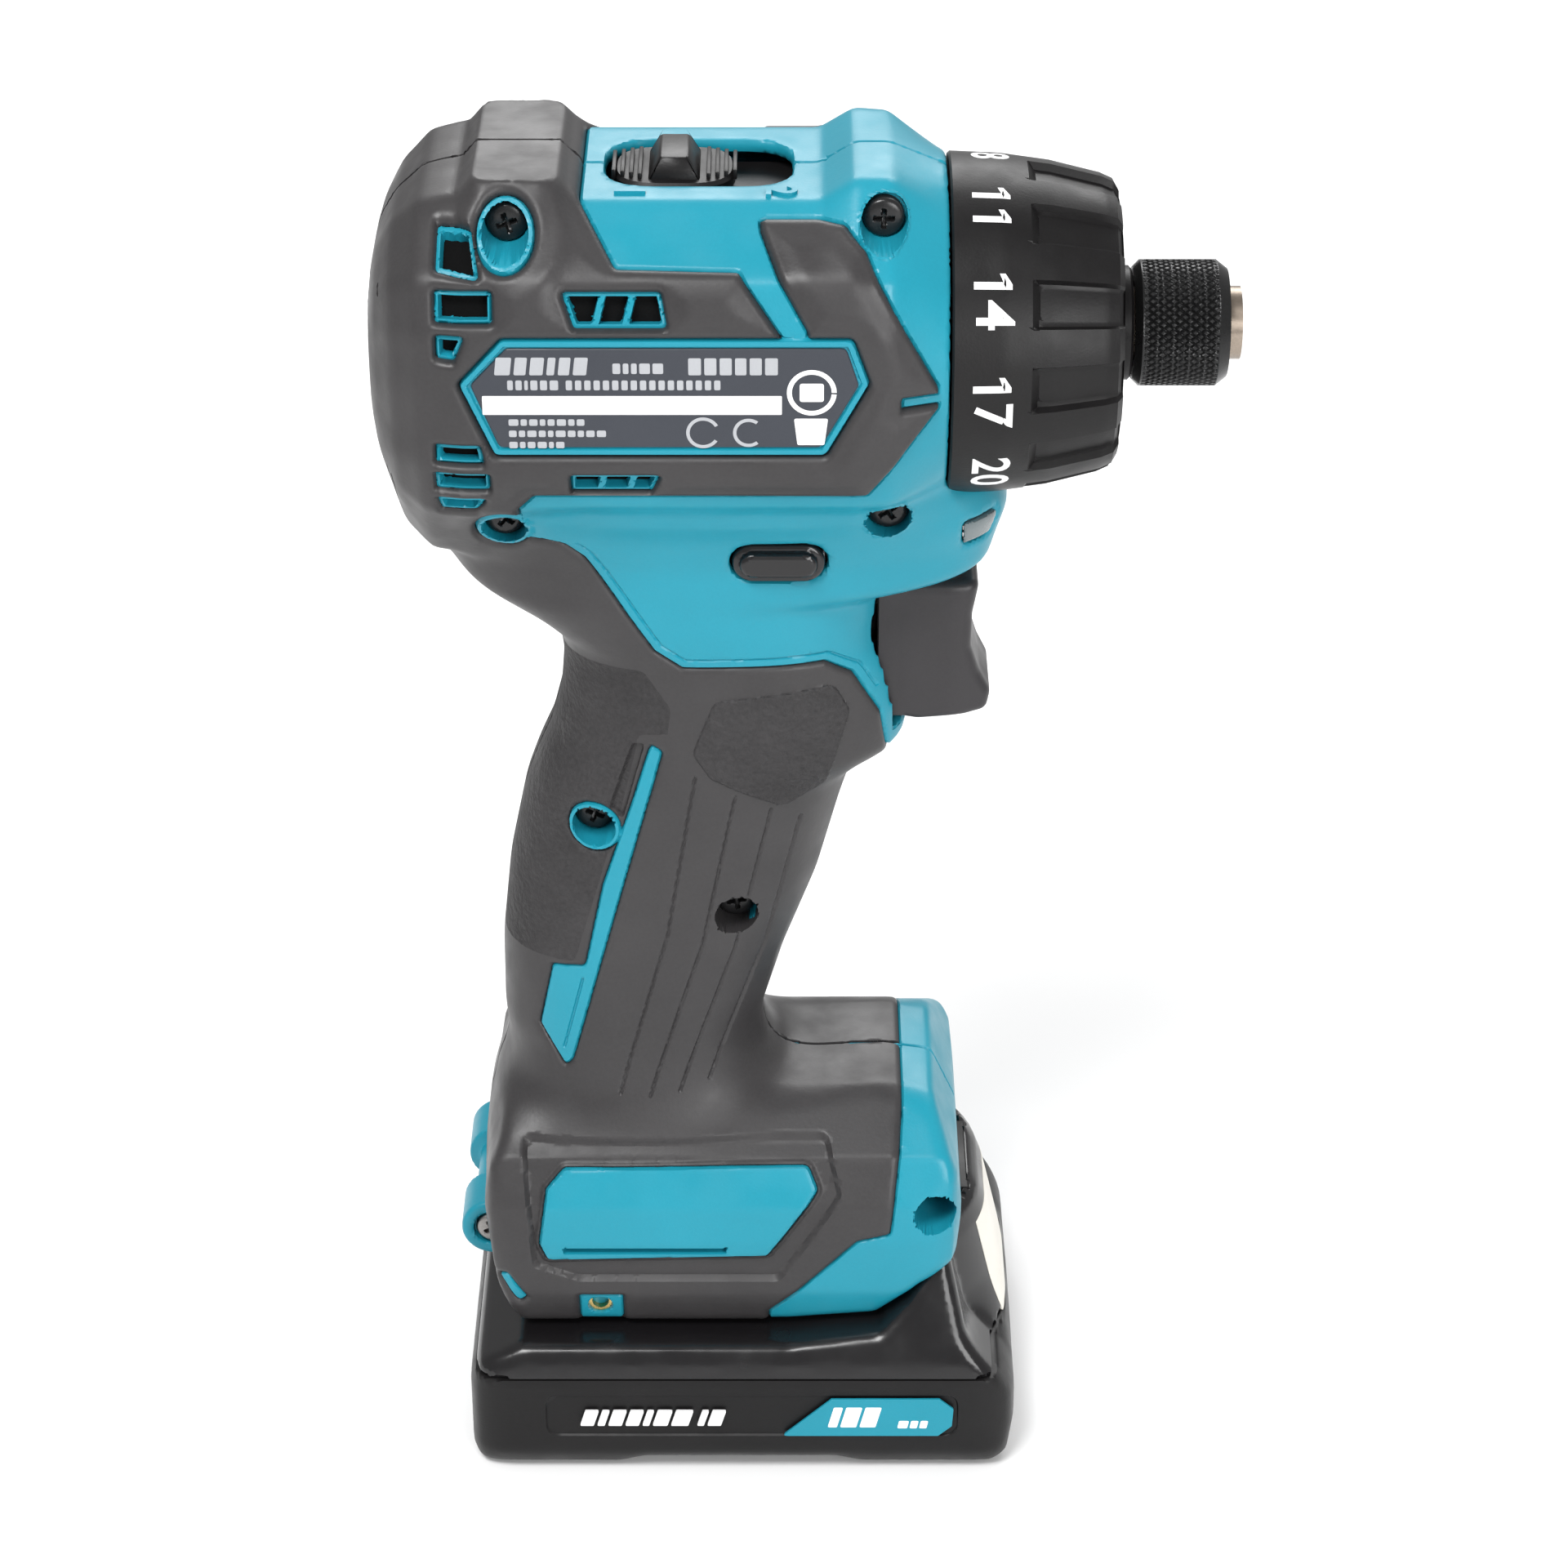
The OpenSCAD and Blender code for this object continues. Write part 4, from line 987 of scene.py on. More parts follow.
def build_casing():
    """Both halves of the casing with their rubber covers."""
    points, faces = surface_net(half_casing_field, (-65, -29.5, 21), (32, 1.2, 219), CASING_PITCH)
    distance = casing_field(*points.T)
    clear = openings_field(*points.T) > 0.5
    near = np.where(points[:, 1] < -0.5, 0.45, 0.42)
    outer = (np.abs(distance) < near) & clear
    inner = (np.abs(distance + WALL) < 0.45) & clear & (points[:, 1] < -0.5)
    points[outer] = settle(casing_field, points[outer])
    extra = np.stack([outer, inner], 1).astype(float)
    detail = fine_detail(points[:, 0], points[:, 2]) & outer
    points, faces, extra = refine(points, faces, extra, detail[faces].any(1) & outer[faces].all(1))
    outer = extra[:, 0] > MARK
    points[outer] = settle(casing_field, points[outer], 1, 0.1)
    points, faces, extra = cut_all(points, faces, extra, CASING_CUTS)
    outer, inner = extra[:, 0] > MARK, extra[:, 1] > MARK
    points[outer] = settle(casing_field, points[outer], 1, 0.1)
    normal = slope(casing_field, points)
    normal /= np.linalg.norm(normal, axis=1, keepdims=True) + 1e-9
    x, z = points[:, 0], points[:, 2]
    teal_h = np.where(outer, teal_height(x, z), 0)[:, None]
    rubber_h = np.where(outer, rubber_height(x, z), 0)[:, None]
    teal = points + normal * teal_h
    cover_top = points + normal * rubber_h
    cover_low = points + normal * (np.minimum(teal_h, rubber_h) + 0.02)
    for (bx, bz, ring, bore), seat in zip(BOSSES, SCREW_SEATS):
        r = np.hypot(x - bx, z - bz)
        down = unit((bore - r) / RIM_SOFT) * outer
        wide = down if ring else unit((bore + 0.45 - r) / 0.25) * outer
        sleeve = unit((bore + 1.1 - r) / RIM_SOFT) * inner
        in_rubber = rubber_inside(np.array([bx]), np.array([bz]))[0] > 0
        for sheet, share, y in (
            (teal, wide if in_rubber else down, 0.3 - seat),
            (cover_top, down, -seat),
            (cover_low, wide, 0.15 - seat),
            (teal, sleeve, 1.2 - seat),
        ):
            sheet[:, 1] += share * (y - sheet[:, 1])
    teal[:, 1] += unit(in_clip_bore(x, z) / RIM_SOFT) * outer * (-23.2 - teal[:, 1])
    for sheet in (teal, cover_top, cover_low):
        sheet[:, 1] = np.minimum(sheet[:, 1], -0.02)
    teal, cover_top, cover_low = within_box(teal), within_box(cover_top), within_box(cover_low)
    inside = rubber_inside(x, z)[faces]
    walls = outer[faces].all(1)
    covered = (inside.max(1) > 0.08) & walls & (inside.min(1) > -0.08)
    a, b = points[faces].mean(1)[covered][:, [0, 2]].T
    textured = (inside_by(a, b, PAD) > 0) | (inside_by(a, b, REAR_TEXTURE) > 0)
    used, teal_faces = compact(faces)
    cover_points, cover_faces = slab(cover_top, cover_low, faces[covered])
    texture_slots = np.zeros(len(cover_faces), np.int32)
    texture_slots[: len(textured)][textured] = 1
    for side, facing in SIDES:
        teal_shape = facing(teal[used], teal_faces)
        piece(f"casing_{side}", teal_shape, "casing_teal", "housing", f"housing_{side}")
        rubber_shape = facing(cover_points, cover_faces)
        cover = piece(f"rubber_cover_{side}", rubber_shape, "grip_rubber", "housing", f"grip_cover_{side}")
        cover.data.materials.append(MATERIALS["grip_texture"])
        cover.data.polygons.foreach_set("material_index", texture_slots)
    # Near-black sheets just behind the open vent windows: painted shade for the inside of the casing
    shade_sheet_faces = (vent_windows(x, z)[faces].min(1) > 0.1) & walls
    shade_sheets = slab(points - WINDOW_DEPTH * normal, points - (WINDOW_DEPTH + 0.25) * normal, faces[shade_sheet_faces])
    for side, facing in SIDES:
        piece(f"vent_shade_sheets_{side}", facing(*shade_sheets), "vent_dark", "housing")


# -------------------------------------------------------- stage and camera


def build_stage():
    size = 6.0
    floor = bpy.data.meshes.new("floor")
    corners = [(-size, -size, 0), (size, -size, 0), (size, size, 0), (-size, size, 0)]
    floor.from_pydata(corners, [], [(0, 1, 2, 3)])
    paper = material("floor", (0.88, 0.88, 0.88), 0.6, depth=0.01, mottle=0.005, blotch=3, grain=20)
    floor.materials.append(paper)
    obj = bpy.data.objects.new("floor", floor)
    bpy.context.scene.collection.objects.link(obj)
    world = bpy.data.worlds.new("studio")
    bpy.context.scene.world = world
    world.use_nodes = True
    world.node_tree.nodes["Background"].inputs["Color"].default_value = (1, 1, 1, 1)
    world.node_tree.nodes["Background"].inputs["Strength"].default_value = 0.5
    bpy.context.scene.view_settings.view_transform = "Standard"


def area_light(name, place_at, target, size, power):
    data = bpy.data.lights.new(name, "AREA")
    data.shape = "RECTANGLE"
    data.size, data.size_y = size
    data.energy = power
    obj = bpy.data.objects.new(name, data)
    obj.location = place_at
    obj.rotation_euler = (Vector(target) - Vector(place_at)).to_track_quat("-Z", "Y").to_euler()
    bpy.context.scene.collection.objects.link(obj)


def build_lights():
    middle = (0, 0, 0.11)
    area_light("key", (-0.35, -0.55, 1.1), middle, (0.45, 0.4), 12.5)
    area_light("front", (0.5, -0.9, 0.45), middle, (0.5, 0.5), 6.5)
    area_light("rim", (0.1, 0.9, 0.8), middle, (0.9, 0.4), 8)


def build_camera():
    """The photograph looks down at 30 degrees, square on to the right side of the tool."""
    tilt = math.radians(30.3)
    distance = 0.6599
    target = Vector((-0.0036, 0, 0.1103))
    data = bpy.data.cameras.new("camera")
    data.sensor_width = 36
    data.lens = 97.39
    data.clip_end = 30
    obj = bpy.data.objects.new("camera", data)
    obj.location = target + Vector((0, -distance * math.cos(tilt), distance * math.sin(tilt)))
    obj.rotation_euler = (math.pi / 2 - tilt, 0, 0)
    bpy.context.scene.collection.objects.link(obj)
    bpy.context.scene.camera = obj


FIELD_PITCH = 0.45


def field_piece(name, field, low, high, finish, body, *nodes):
    """A piece meshed straight from a field and settled onto it."""
    points, faces = surface_net(field, low, high, FIELD_PITCH)
    points = settle(field, points, 2, FIELD_PITCH)
    piece(name, (within_box(points), faces), finish, body, *nodes)


def convex(points, bevel, segments=2):
    """The convex hull of a few points with softened edges, as (points, faces)."""
    bm = bmesh.new()
    for p in points:
        bm.verts.new(p)
    bmesh.ops.convex_hull(bm, input=bm.verts)
    bmesh.ops.dissolve_limit(bm, angle_limit=0.02, verts=bm.verts, edges=bm.edges)
    geom = list(bm.edges) + list(bm.verts)
    bmesh.ops.bevel(bm, geom=geom, offset=bevel, segments=segments, affect="EDGES", profile=0.5)
    bmesh.ops.recalc_face_normals(bm, faces=bm.faces)
    out = np.array([v.co[:] for v in bm.verts]), [[v.index for v in f.verts] for f in bm.faces]
    bm.free()
    return out


def block(low, high, bevel):
    return convex(list(itertools.product(*zip(low, high))), bevel)


# ---------------------------------------------------- torque ring and chuck

RING_PROFILE = [
    (20.1, 19.6), (20.1, 24.6), (20.4, 24.9), (27.5, 24.6), (34.8, 23.6), (42.2, 21.8), (44.0, 21.0),
    (44.8, 19.6), (44.8, 8.05), (41, 8.05), (41, 17.2), (34, 17.2), (33, 19.6),
]  # fmt: skip
RING_SKIN = np.array(RING_PROFILE[1:8]).T
RING_POCKETS = 12
POCKET_SIDE, POCKET_REAR = 0.45, 1.15  # how far its walls slope
POCKET_START = 31.4
POCKET = [(POCKET_START, -3.4), (46, -3.4), (46, 3.4), (POCKET_START, 3.4)]
POCKET_FLOOR = 1.25
DIGIT_PITCH = 34.5
FIRST_DIGIT_ANGLE = 66.0


def around(points):
    """Radius and angle of points about the spindle axis; the angle is 0 straight up and grows towards -Y."""
    y, z = points[:, 1], points[:, 2] - SPINDLE_Z
    return np.hypot(y, z), np.arctan2(-y, z)


def from_axis(x, r, angle):
    return np.stack([x, -r * np.sin(angle), SPINDLE_Z + r * np.cos(angle)], 1)


def fine_loop(profile, pitch):
    """A closed (x, r) profile with points no further apart than pitch."""
    out = []
    for p, q in zip(profile, np.roll(profile, -1, 0)):
        n = max(1, int(math.ceil(math.dist(p, q) / pitch)))
        out += [tuple(np.array(p) + (np.array(q) - p) * k / n) for k in range(n)]
    return np.array(out)


def spun_grid(profile, segments):
    """Triangles of a closed profile turned all the way round."""
    m = len(profile)
    angle = np.tile(np.arange(segments) * 2 * math.pi / segments, m)
    points = from_axis(np.repeat(profile[:, 0], segments), np.repeat(profile[:, 1], segments), angle)
    i, k = np.meshgrid(np.arange(m), np.arange(segments), indexing="ij")
    i, k = i.ravel(), k.ravel()
    j, n = (i + 1) % m, (k + 1) % segments
    quad = np.stack([i * segments + k, j * segments + k, j * segments + n, i * segments + n], 1)
    return points, np.concatenate([quad[:, [0, 1, 2]], quad[:, [0, 2, 3]]])


def pocket_inside(points):
    r, angle = around(points)
    share = 2 * math.pi / RING_POCKETS
    local = (np.mod(angle + share / 2, share) - share / 2) * 23
    return inside_by(points[:, 0], local, POCKET)


def build_torque_ring():
    points, faces = spun_grid(fine_loop(RING_PROFILE, 0.9), 288)
    r, _ = around(points)
    extra = (np.abs(r - np.interp(points[:, 0], *RING_SKIN)) < 0.02).astype(float)[:, None]
    field = lambda p, e: np.where(e[:, 0] > 0.5, pocket_inside(p), FAR_OUTSIDE)
    points, faces, extra = cut_all(points, faces, extra, [(field, (0.0, POCKET_SIDE, POCKET_REAR))])
    r, angle = around(points)
    d = field(points, extra)
    rear = unit((points[:, 0] - POCKET_START) / POCKET_REAR)
    depth = POCKET_FLOOR * np.minimum(rear, unit(d / POCKET_SIDE))
    r = np.where(extra[:, 0] > 0.5, np.interp(points[:, 0], *RING_SKIN) - depth * (d > 0), r)
    shape = from_axis(points[:, 0], r, angle), faces
    piece("torque_ring_grip", shape, "black_matte", "torque_ring", "torque_ring", sharp=25)


def lettering(text, size, weight=0.0):
    """Flat characters in (x, y), centred, as (points, triangles)."""
    data = bpy.data.curves.new("characters", "FONT")
    data.body = text
    data.size = size
    data.offset = weight
    data.align_x = "CENTER"
    data.align_y = "CENTER"
    data.resolution_u = 4
    obj = bpy.data.objects.new("characters", data)
    bpy.context.scene.collection.objects.link(obj)
    bpy.context.view_layer.update()
    mesh = bpy.data.meshes.new_from_object(obj.evaluated_get(bpy.context.evaluated_depsgraph_get()))
    bm = bmesh.new()
    bm.from_mesh(mesh)
    bmesh.ops.remove_doubles(bm, verts=bm.verts, dist=size * 0.002)
    bmesh.ops.triangulate(bm, faces=bm.faces)
    bmesh.ops.subdivide_edges(bm, edges=[e for e in bm.edges if e.calc_length() > size * 0.2], cuts=2)
    bmesh.ops.triangulate(bm, faces=bm.faces)
    bm.verts.index_update()
    points = np.array([v.co[:] for v in bm.verts])
    faces = np.array([[v.index for v in f.verts] for f in bm.faces])
    if bm.faces and sum(f.normal.z * f.calc_area() for f in bm.faces) < 0:
        faces = faces[:, ::-1]
    bm.free()
    bpy.data.objects.remove(obj)
    bpy.data.curves.remove(data)
    bpy.data.meshes.remove(mesh)
    return points, faces


FIGURE_SIZE = 7.6
FIGURE_HEIGHT = 0.025
FLAGGED_ONE = [
    (-0.2, -2.72), (0.75, -2.72), (0.75, 2.72), (0.05, 2.72), (-1.3, 1.75), (-1.3, 0.95), (-0.2, 1.45),
]  # fmt: skip


def figure(character, size, weight):
    """One figure, centred; the 1 is drawn with a flag."""
    if character != "1":
        return lettering(character, size, weight)
    outline = np.array(FLAGGED_ONE) * size / FIGURE_SIZE
    stops, quarters = np.arange(len(outline) + 1), np.arange(0, len(outline), 0.25)
    points = np.stack([np.interp(quarters, stops, np.append(c, c[0])) for c in outline.T], 1)
    faces = np.array(tessellate_polygon([[Vector((a, b, 0)) for a, b in points]]))
    u, v = points[faces[:, 1]] - points[faces[:, 0]], points[faces[:, 2]] - points[faces[:, 0]]
    turn = u[:, 0] * v[:, 1] - u[:, 1] * v[:, 0]
    faces[turn < 0] = faces[turn < 0][:, ::-1]
    return np.column_stack([points, np.zeros(len(points))]), faces


def ring_characters(text, angle_deg):
    """Figures wrapped on the ring, read round it with their tops towards the bit."""
    parts = []
    for k, character in enumerate(text):
        p, f = figure(character, FIGURE_SIZE, 0.12)
        parts.append((p * [1.12, 1, 1] + [(k - (len(text) - 1) / 2) * 4.5, 0, 0], f))
    p, f = joined(*parts)
    f = np.array(f)
    x = 25.8 + p[:, 1]
    skin = np.interp(x, *RING_SKIN)
    angle = math.radians(90 - angle_deg) + p[:, 0] / 24.6
    return slab(from_axis(x, skin + FIGURE_HEIGHT, angle), from_axis(x, skin - 0.1, angle), f[:, ::-1])


def build_ring_numbers():
    places = ((0, 11), (-1, 14), (-2, 17), (-3, 20), (1, 8), (2, 5), (3, 2))
    numbers = [ring_characters(str(n), FIRST_DIGIT_ANGLE + k * DIGIT_PITCH) for k, n in places]
    piece("ring_numbers", joined(*numbers), "print_white", "torque_ring")


def build_chuck():
    """The knurled sleeve, crossed by two sets of helical grooves, and the collar behind it."""
    starts, lead = 50, 1.55
    profile = [
        (51.6, 5.75), (47.2, 7.0), (47.2, 8.2), (48.2, 9.2), (59.4, 9.2), (61.0, 7.95), (61.0, 7.75),
        (54.6, 7.75), (54.6, 5.75),
    ]  # fmt: skip
    knurled_from = (48.2, 9.2)
    fine = []
    for p, q in zip(profile, np.roll(profile, -1, 0)):
        n = 96 if p == knurled_from else 2
        fine += [tuple(np.array(p) + (np.array(q) - p) * k / n) for k in range(n)]
    points, faces = spun_grid(np.array(fine), 600)
    r, angle = around(points)
    x = points[:, 0]
    turn = angle / (2 * math.pi) * starts
    wave = [np.abs(2 * np.mod(turn + sign * x / lead, 1) - 1) for sign in (-1, 1)]
    pyramid = np.minimum(1, 2.0 * np.minimum(1 - wave[0], 1 - wave[1]))
    band = ease((x - 48.3) / 0.5) * ease((59.4 - x) / 0.5) * (r > 9.1)
    r = r - 0.32 * (1 - pyramid) * band
    sleeve = from_axis(x, r, angle), faces
    piece("knurled_sleeve", sleeve, "sleeve_black", "sleeve", "chuck_sleeve", sharp=CRISP)
    profile = [
        (44.9, 8.03), (44.9, 8.35), (46.6, 8.35), (47.0, 7.9), (47.0, 5.5), (46.45, 5.5), (46.45, 8.03),
    ]  # fmt: skip
    collar = spun_grid(fine_loop(profile, 0.5), 96)
    piece("chuck_collar", collar, "black_matte", "housing", "ring_clip", slot="screw_black", sharp=CRISP)


# --------------------------------------------------------- controls


def build_selector():
    """Slide switch on top: an oblong base, ribs, and a raised block to push."""
    base = rounded([(-28, -7.4), (-10.5, -7.4), (-10.5, 7.4), (-28, 7.4)], 6.8, 9)
    parts = [plate(base, 211.3, 213.1, 0.5, on_top)]
    for side in (-1, 1):
        for k in range(4):
            x = -19.25 + side * (4.9 + 1.25 * k)
            half = 5.2 - 0.45 * k
            parts.append(block((x - 0.3, -half, 212.4), (x + 0.3, half, 213.9), 0.15))
    low = [(x, y, 212.6) for x in (-23.2, -15.3) for y in (-5.6, 5.6)]
    high = [(x, y, 216.1) for x in (-21.3, -17.2) for y in (-4.6, 4.6)]
    waist = [(x, y, 214.3) for x in (-22.2, -16.3) for y in (-5.4, 5.4)]
    parts.append(convex(low + waist + high, 0.35))
    piece("speed_slider", joined(*parts), "black_matte", "speed_selector", "speed_selector", sharp=CRISP)
    floor = rounded([(-30.6, -9.6), (-0.8, -9.6), (-0.8, 9.6), (-30.6, 9.6)], 2)
    piece("slot_floor", plate(floor, 209.0, 209.8, 0.2, on_top), "black_matte", "housing")


def build_slot_digits():
    """Moulded 1 and 2 beside the slot, one at each end of its travel."""
    digits = []
    for text, x in (("1", -25.6), ("2", -4.2)):
        p, f = lettering(text, 6.2, 0.1)
        x_at, y_at = x + p[:, 1], -11.6 - p[:, 0]
        z_at = np.array([top_height(a, b) for a, b in zip(x_at, y_at)])
        digits.append(slab(*(np.stack([x_at, y_at, z_at + h], 1) for h in (0.5, -0.3)), f))
    piece("slot_digits", joined(*digits), "casing_teal", "housing")


def top_height(x, y):
    """Height of the casing's top at (x, y), found by halving."""
    low, high = 200.0, 220.0
    for _ in range(18):
        mid = (low + high) / 2
        inside = float(casing_field(np.array([x]), np.array([y]), np.array([mid]))[0]) < 0
        low, high = (mid, high) if inside else (low, mid)
    return low


TRIGGER_SIDE = rounded(
    [
        (12.6, 149.8), (25.8, 149.8), (24.7, 144.0), (24.6, 138.5), (26.0, 134.0), (27.7, 130.6),
        (27.2, 127.6), (24.0, 126.9), (16.7, 126.3), (12.6, 127.0),
    ],
    (0.6, 1.5, 4, 4, 4, 1.8, 1.6, 2, 1, 0.6),
    6,
)  # fmt: skip


def trigger_field(x, y, z):
    narrow = 8.6 - 0.9 * ease((x - 21) / 7)
    blade = smooth_max(-inside_by(x, z, TRIGGER_SIDE), np.abs(y) - narrow, 2.0)
    skirt = np.maximum(box_field(x, y, z, (10.4, -8.55, 127.2), (14.5, 8.55, 149.6)), 7.4 - np.abs(y))
    return np.minimum(blade, skirt)


def button_field(x, y, z):
    body = smooth_max(-near_line(x, z, BUTTON_LINE, BUTTON_R), np.abs(y) - 19.6, 0.8)
    ridge = smooth_max(-near_line(x, z, BUTTON_LINE, BUTTON_R - 1.15), np.abs(y) - 20.6, 0.7)
    return smooth_min(body, ridge, 0.3)


def lens_field(x, y, z):
    shape = casing_field(x, y, z) + 0.12
    return smooth_max(shape, box_field(x, y, z, (22.8, -14.8, 158.6), (30, -8.4, 162.4)), 0.4)


def build_controls():
    field_piece(
        "trigger_blade", trigger_field, (8.6, -10, 125), (29, 10, 151), "trigger_grey", "trigger", "trigger"
    )
    field_piece(
        "direction_rocker", button_field, (-13, -21.5, 154), (4, 21.5, 164), "black_plastic",
        "direction_button", "direction_button",
    )  # fmt: skip
    points, faces = surface_net(lens_field, (22, -16, 157.5), (31, -7.5, 163.5), 0.35)
    points = settle(lens_field, points, 2, 0.3)
    both = joined((points, faces), mirrored(points, faces))
    piece("led_lenses", both, "lens", "housing", "led_lens")


# ------------------------------------------------------------------ screws

CROSS = [
    (-1.55, -0.36), (-0.36, -0.36), (-0.36, -1.55), (0.36, -1.55), (0.36, -0.36), (1.55, -0.36),
    (1.55, 0.36), (0.36, 0.36), (0.36, 1.55), (-0.36, 1.55), (-0.36, 0.36), (-1.55, 0.36),
]  # fmt: skip


def screw_head(radius, height, turn):
    """A pan head with a cross recess, in (a, b, height above its seat)."""
    rings, spokes = 14, 48
    points = [(0.0, 0.0)]
    for i in range(1, rings + 1):
        for k in range(spokes):
            a = 2 * math.pi * k / spokes
            points.append((radius * i / rings * math.cos(a), radius * i / rings * math.sin(a)))
    faces = [(0, 1 + k, 1 + (k + 1) % spokes) for k in range(spokes)]
    for i in range(rings - 1):
        for k in range(spokes):
            a, b = 1 + i * spokes + k, 1 + i * spokes + (k + 1) % spokes
            faces += [(a, a + spokes, b + spokes), (a, b + spokes, b)]
    points = np.concatenate([np.array(points), np.zeros((len(points), 1))], 1)
    c, s = math.cos(turn), math.sin(turn)
    cross = lambda p: inside_by(p[:, 0] * c + p[:, 1] * s, p[:, 1] * c - p[:, 0] * s, CROSS)
    cuts = [(lambda p, e: cross(p), (0.0, 0.14))]
    points, faces, _ = cut_all(points, np.array(faces), np.zeros((len(points), 1)), cuts)
    r = np.hypot(points[:, 0], points[:, 1])
    rim = 0.75 * (1 - np.sqrt(np.clip(1 - (r / radius) ** 4, 0, 1)))
    deep = unit(cross(points) / 0.14) * np.minimum(1.2, 0.55 + 0.9 * (1 - r / 1.6))
    top = np.column_stack([points[:, :2], height - rim - deep])
    bottom = np.column_stack([points[:, :2], np.zeros(len(points))])
    return slab(top, bottom, faces)


SHANK_SIDES = 20


def build_screws():
    parts = []
    for n, ((x, z, *_), seat) in enumerate(zip(BOSSES, SCREW_SEATS)):
        points, faces = screw_head(2.9, 2.2, 0.35 + 0.6 * n)
        parts.append((np.stack([x + points[:, 0], -seat - points[:, 2], z + points[:, 1]], 1), faces))
        shank = hoops(x, z, [(-seat, 1.5), (7.4, 1.5), (8, 0.9)], SHANK_SIDES)
        ends = [list(range(SHANK_SIDES))[::-1], [2 * SHANK_SIDES + k for k in range(SHANK_SIDES)]]
        parts.append((shank, hoop_faces(((0, 1), (1, 2)), SHANK_SIDES) + ends))
    piece("casing_screws", joined(*parts), "screw_black", "housing", "housing_screws", sharp=CRISP)


# -------------------------------------------------- strap lug, clip inserts


LUG_X, LUG_Z = -50.6, 36


def lug_field(x, y, z):
    across = np.hypot(x - LUG_X, z - LUG_Z)
    width = np.abs(y)
    radius = 3.2 + 1.8 * ease((width - 5.2) / 0.9)
    rod = smooth_max(across - radius, width - 15, 0.8)
    return np.maximum(rod, -smooth_max(across - 3.1, 13.6 - width, 0.1))


def build_inserts():
    """Threaded inserts for the belt clip, deep in the hole of each square plate."""
    insert = (
        hoops(*CLIP_BORE[:2], [(-22.0, 1.9), (-24.3, 1.9), (-24.3, 1.35), (-22.0, 1.35)], 32),
        hoop_faces(((0, 1), (1, 2), (2, 3), (3, 0)), 32),
    )
    both = joined(insert, mirrored(*insert))
    piece("clip_threads", both, "brass", "housing", "clip_inserts", sharp=CRISP)


def build_lug():
    field_piece(
        "strap_bar", lug_field, (-57, -16, 29), (-44, 16, 43), "casing_teal", "housing", "strap_lug"
    )
    head, faces = screw_head(2.7, 1.6, 0.5)
    side = (np.stack([head[:, 0] + LUG_X, -13.4 - head[:, 2], head[:, 1] + LUG_Z], 1), faces)
    both = joined(side, mirrored(*side))
    piece("lug_screws", both, "gear_steel", "housing", slot="steel", sharp=CRISP)


# ------------------------------------------------------------ rating plate


def word_bars(x, z, widths, height, gap=0.45, lean=0.0):
    """A row of small blocks that stands in for a line of print."""
    out = []
    for w in widths:
        shape = [(x, z), (x + w, z), (x + w + lean * height, z + height), (x + lean * height, z + height)]
        out.append(rounded(shape, 0.22, 3))
        x += w + gap
    return out


def ring_outline(x, z, r, width, start, sweep):
    """An open arc with a width, as one outline."""
    a = np.linspace(start, start + sweep, 40)
    outer = np.stack([x + r * np.cos(a), z + r * np.sin(a)], 1)
    inner = np.stack([x + (r - width) * np.cos(a), z + (r - width) * np.sin(a)], 1)
    return np.concatenate([outer, inner[::-1]])


def plate_prints():
    """Generic marks for the rating plate: rows of blocks, a blank white bar and two plain symbols."""
    light = word_bars(-44.2, 193.1, (2.2, 1.7, 1.9, 1.1, 1.6, 1.9), 2.7, 0.5, 0.12)
    light += word_bars(-27.6, 193.3, (1.1, 0.8, 0.8, 1.5, 1.5), 1.6, 0.35)
    light += word_bars(-17.0, 193.1, (1.8, 1.7, 1.7, 1.6, 1.7, 1.8), 2.6, 0.45)
    light += word_bars(-42.4, 190.8, (0.8, 0.9, 0.5, 1.0, 1.0, 1.2), 1.5, 0.35)
    light += word_bars(-34.2, 190.8, (0.9,) * 17, 1.5, 0.4)
    rows = (
        (1.4, 0.9, 1.2, 0.8, 1.0, 1.3, 0.9, 1.1),
        (1.1, 0.9, 1.3, 1.0, 0.8, 1.4, 1.1, 0.9, 1.2, 1.3),
        (1.2, 0.8, 1.1, 1.3, 0.7, 1.2),
    )
    for row, widths in enumerate(rows):
        light += word_bars(-42.4, 185.3 - 1.75 * row, widths, 1.0, 0.3)
    light += [ring_outline(-15.0, 184.2, 2.4, 0.5, 0.5, 5.2), ring_outline(-8.6, 184.2, 2.2, 0.5, 0.9, 4.5)]
    white = [rounded([(-46, 187.0), (-3.9, 187.0), (-3.9, 189.9), (-46, 189.9)], 0.15, 3)]
    white += [ring_outline(0.3, 190.4, 3.5, 0.7, 0, 6.2)]
    white += [rounded([(-1.4, 189), (2, 189), (2, 191.8), (-1.4, 191.8)], 0.4)]
    white += [rounded([(-1.7, 182.3), (2.1, 182.3), (2.6, 186.4), (-2.2, 186.4)], 0.3)]
    return light, white


PLATE_MIDDLE = -20.4


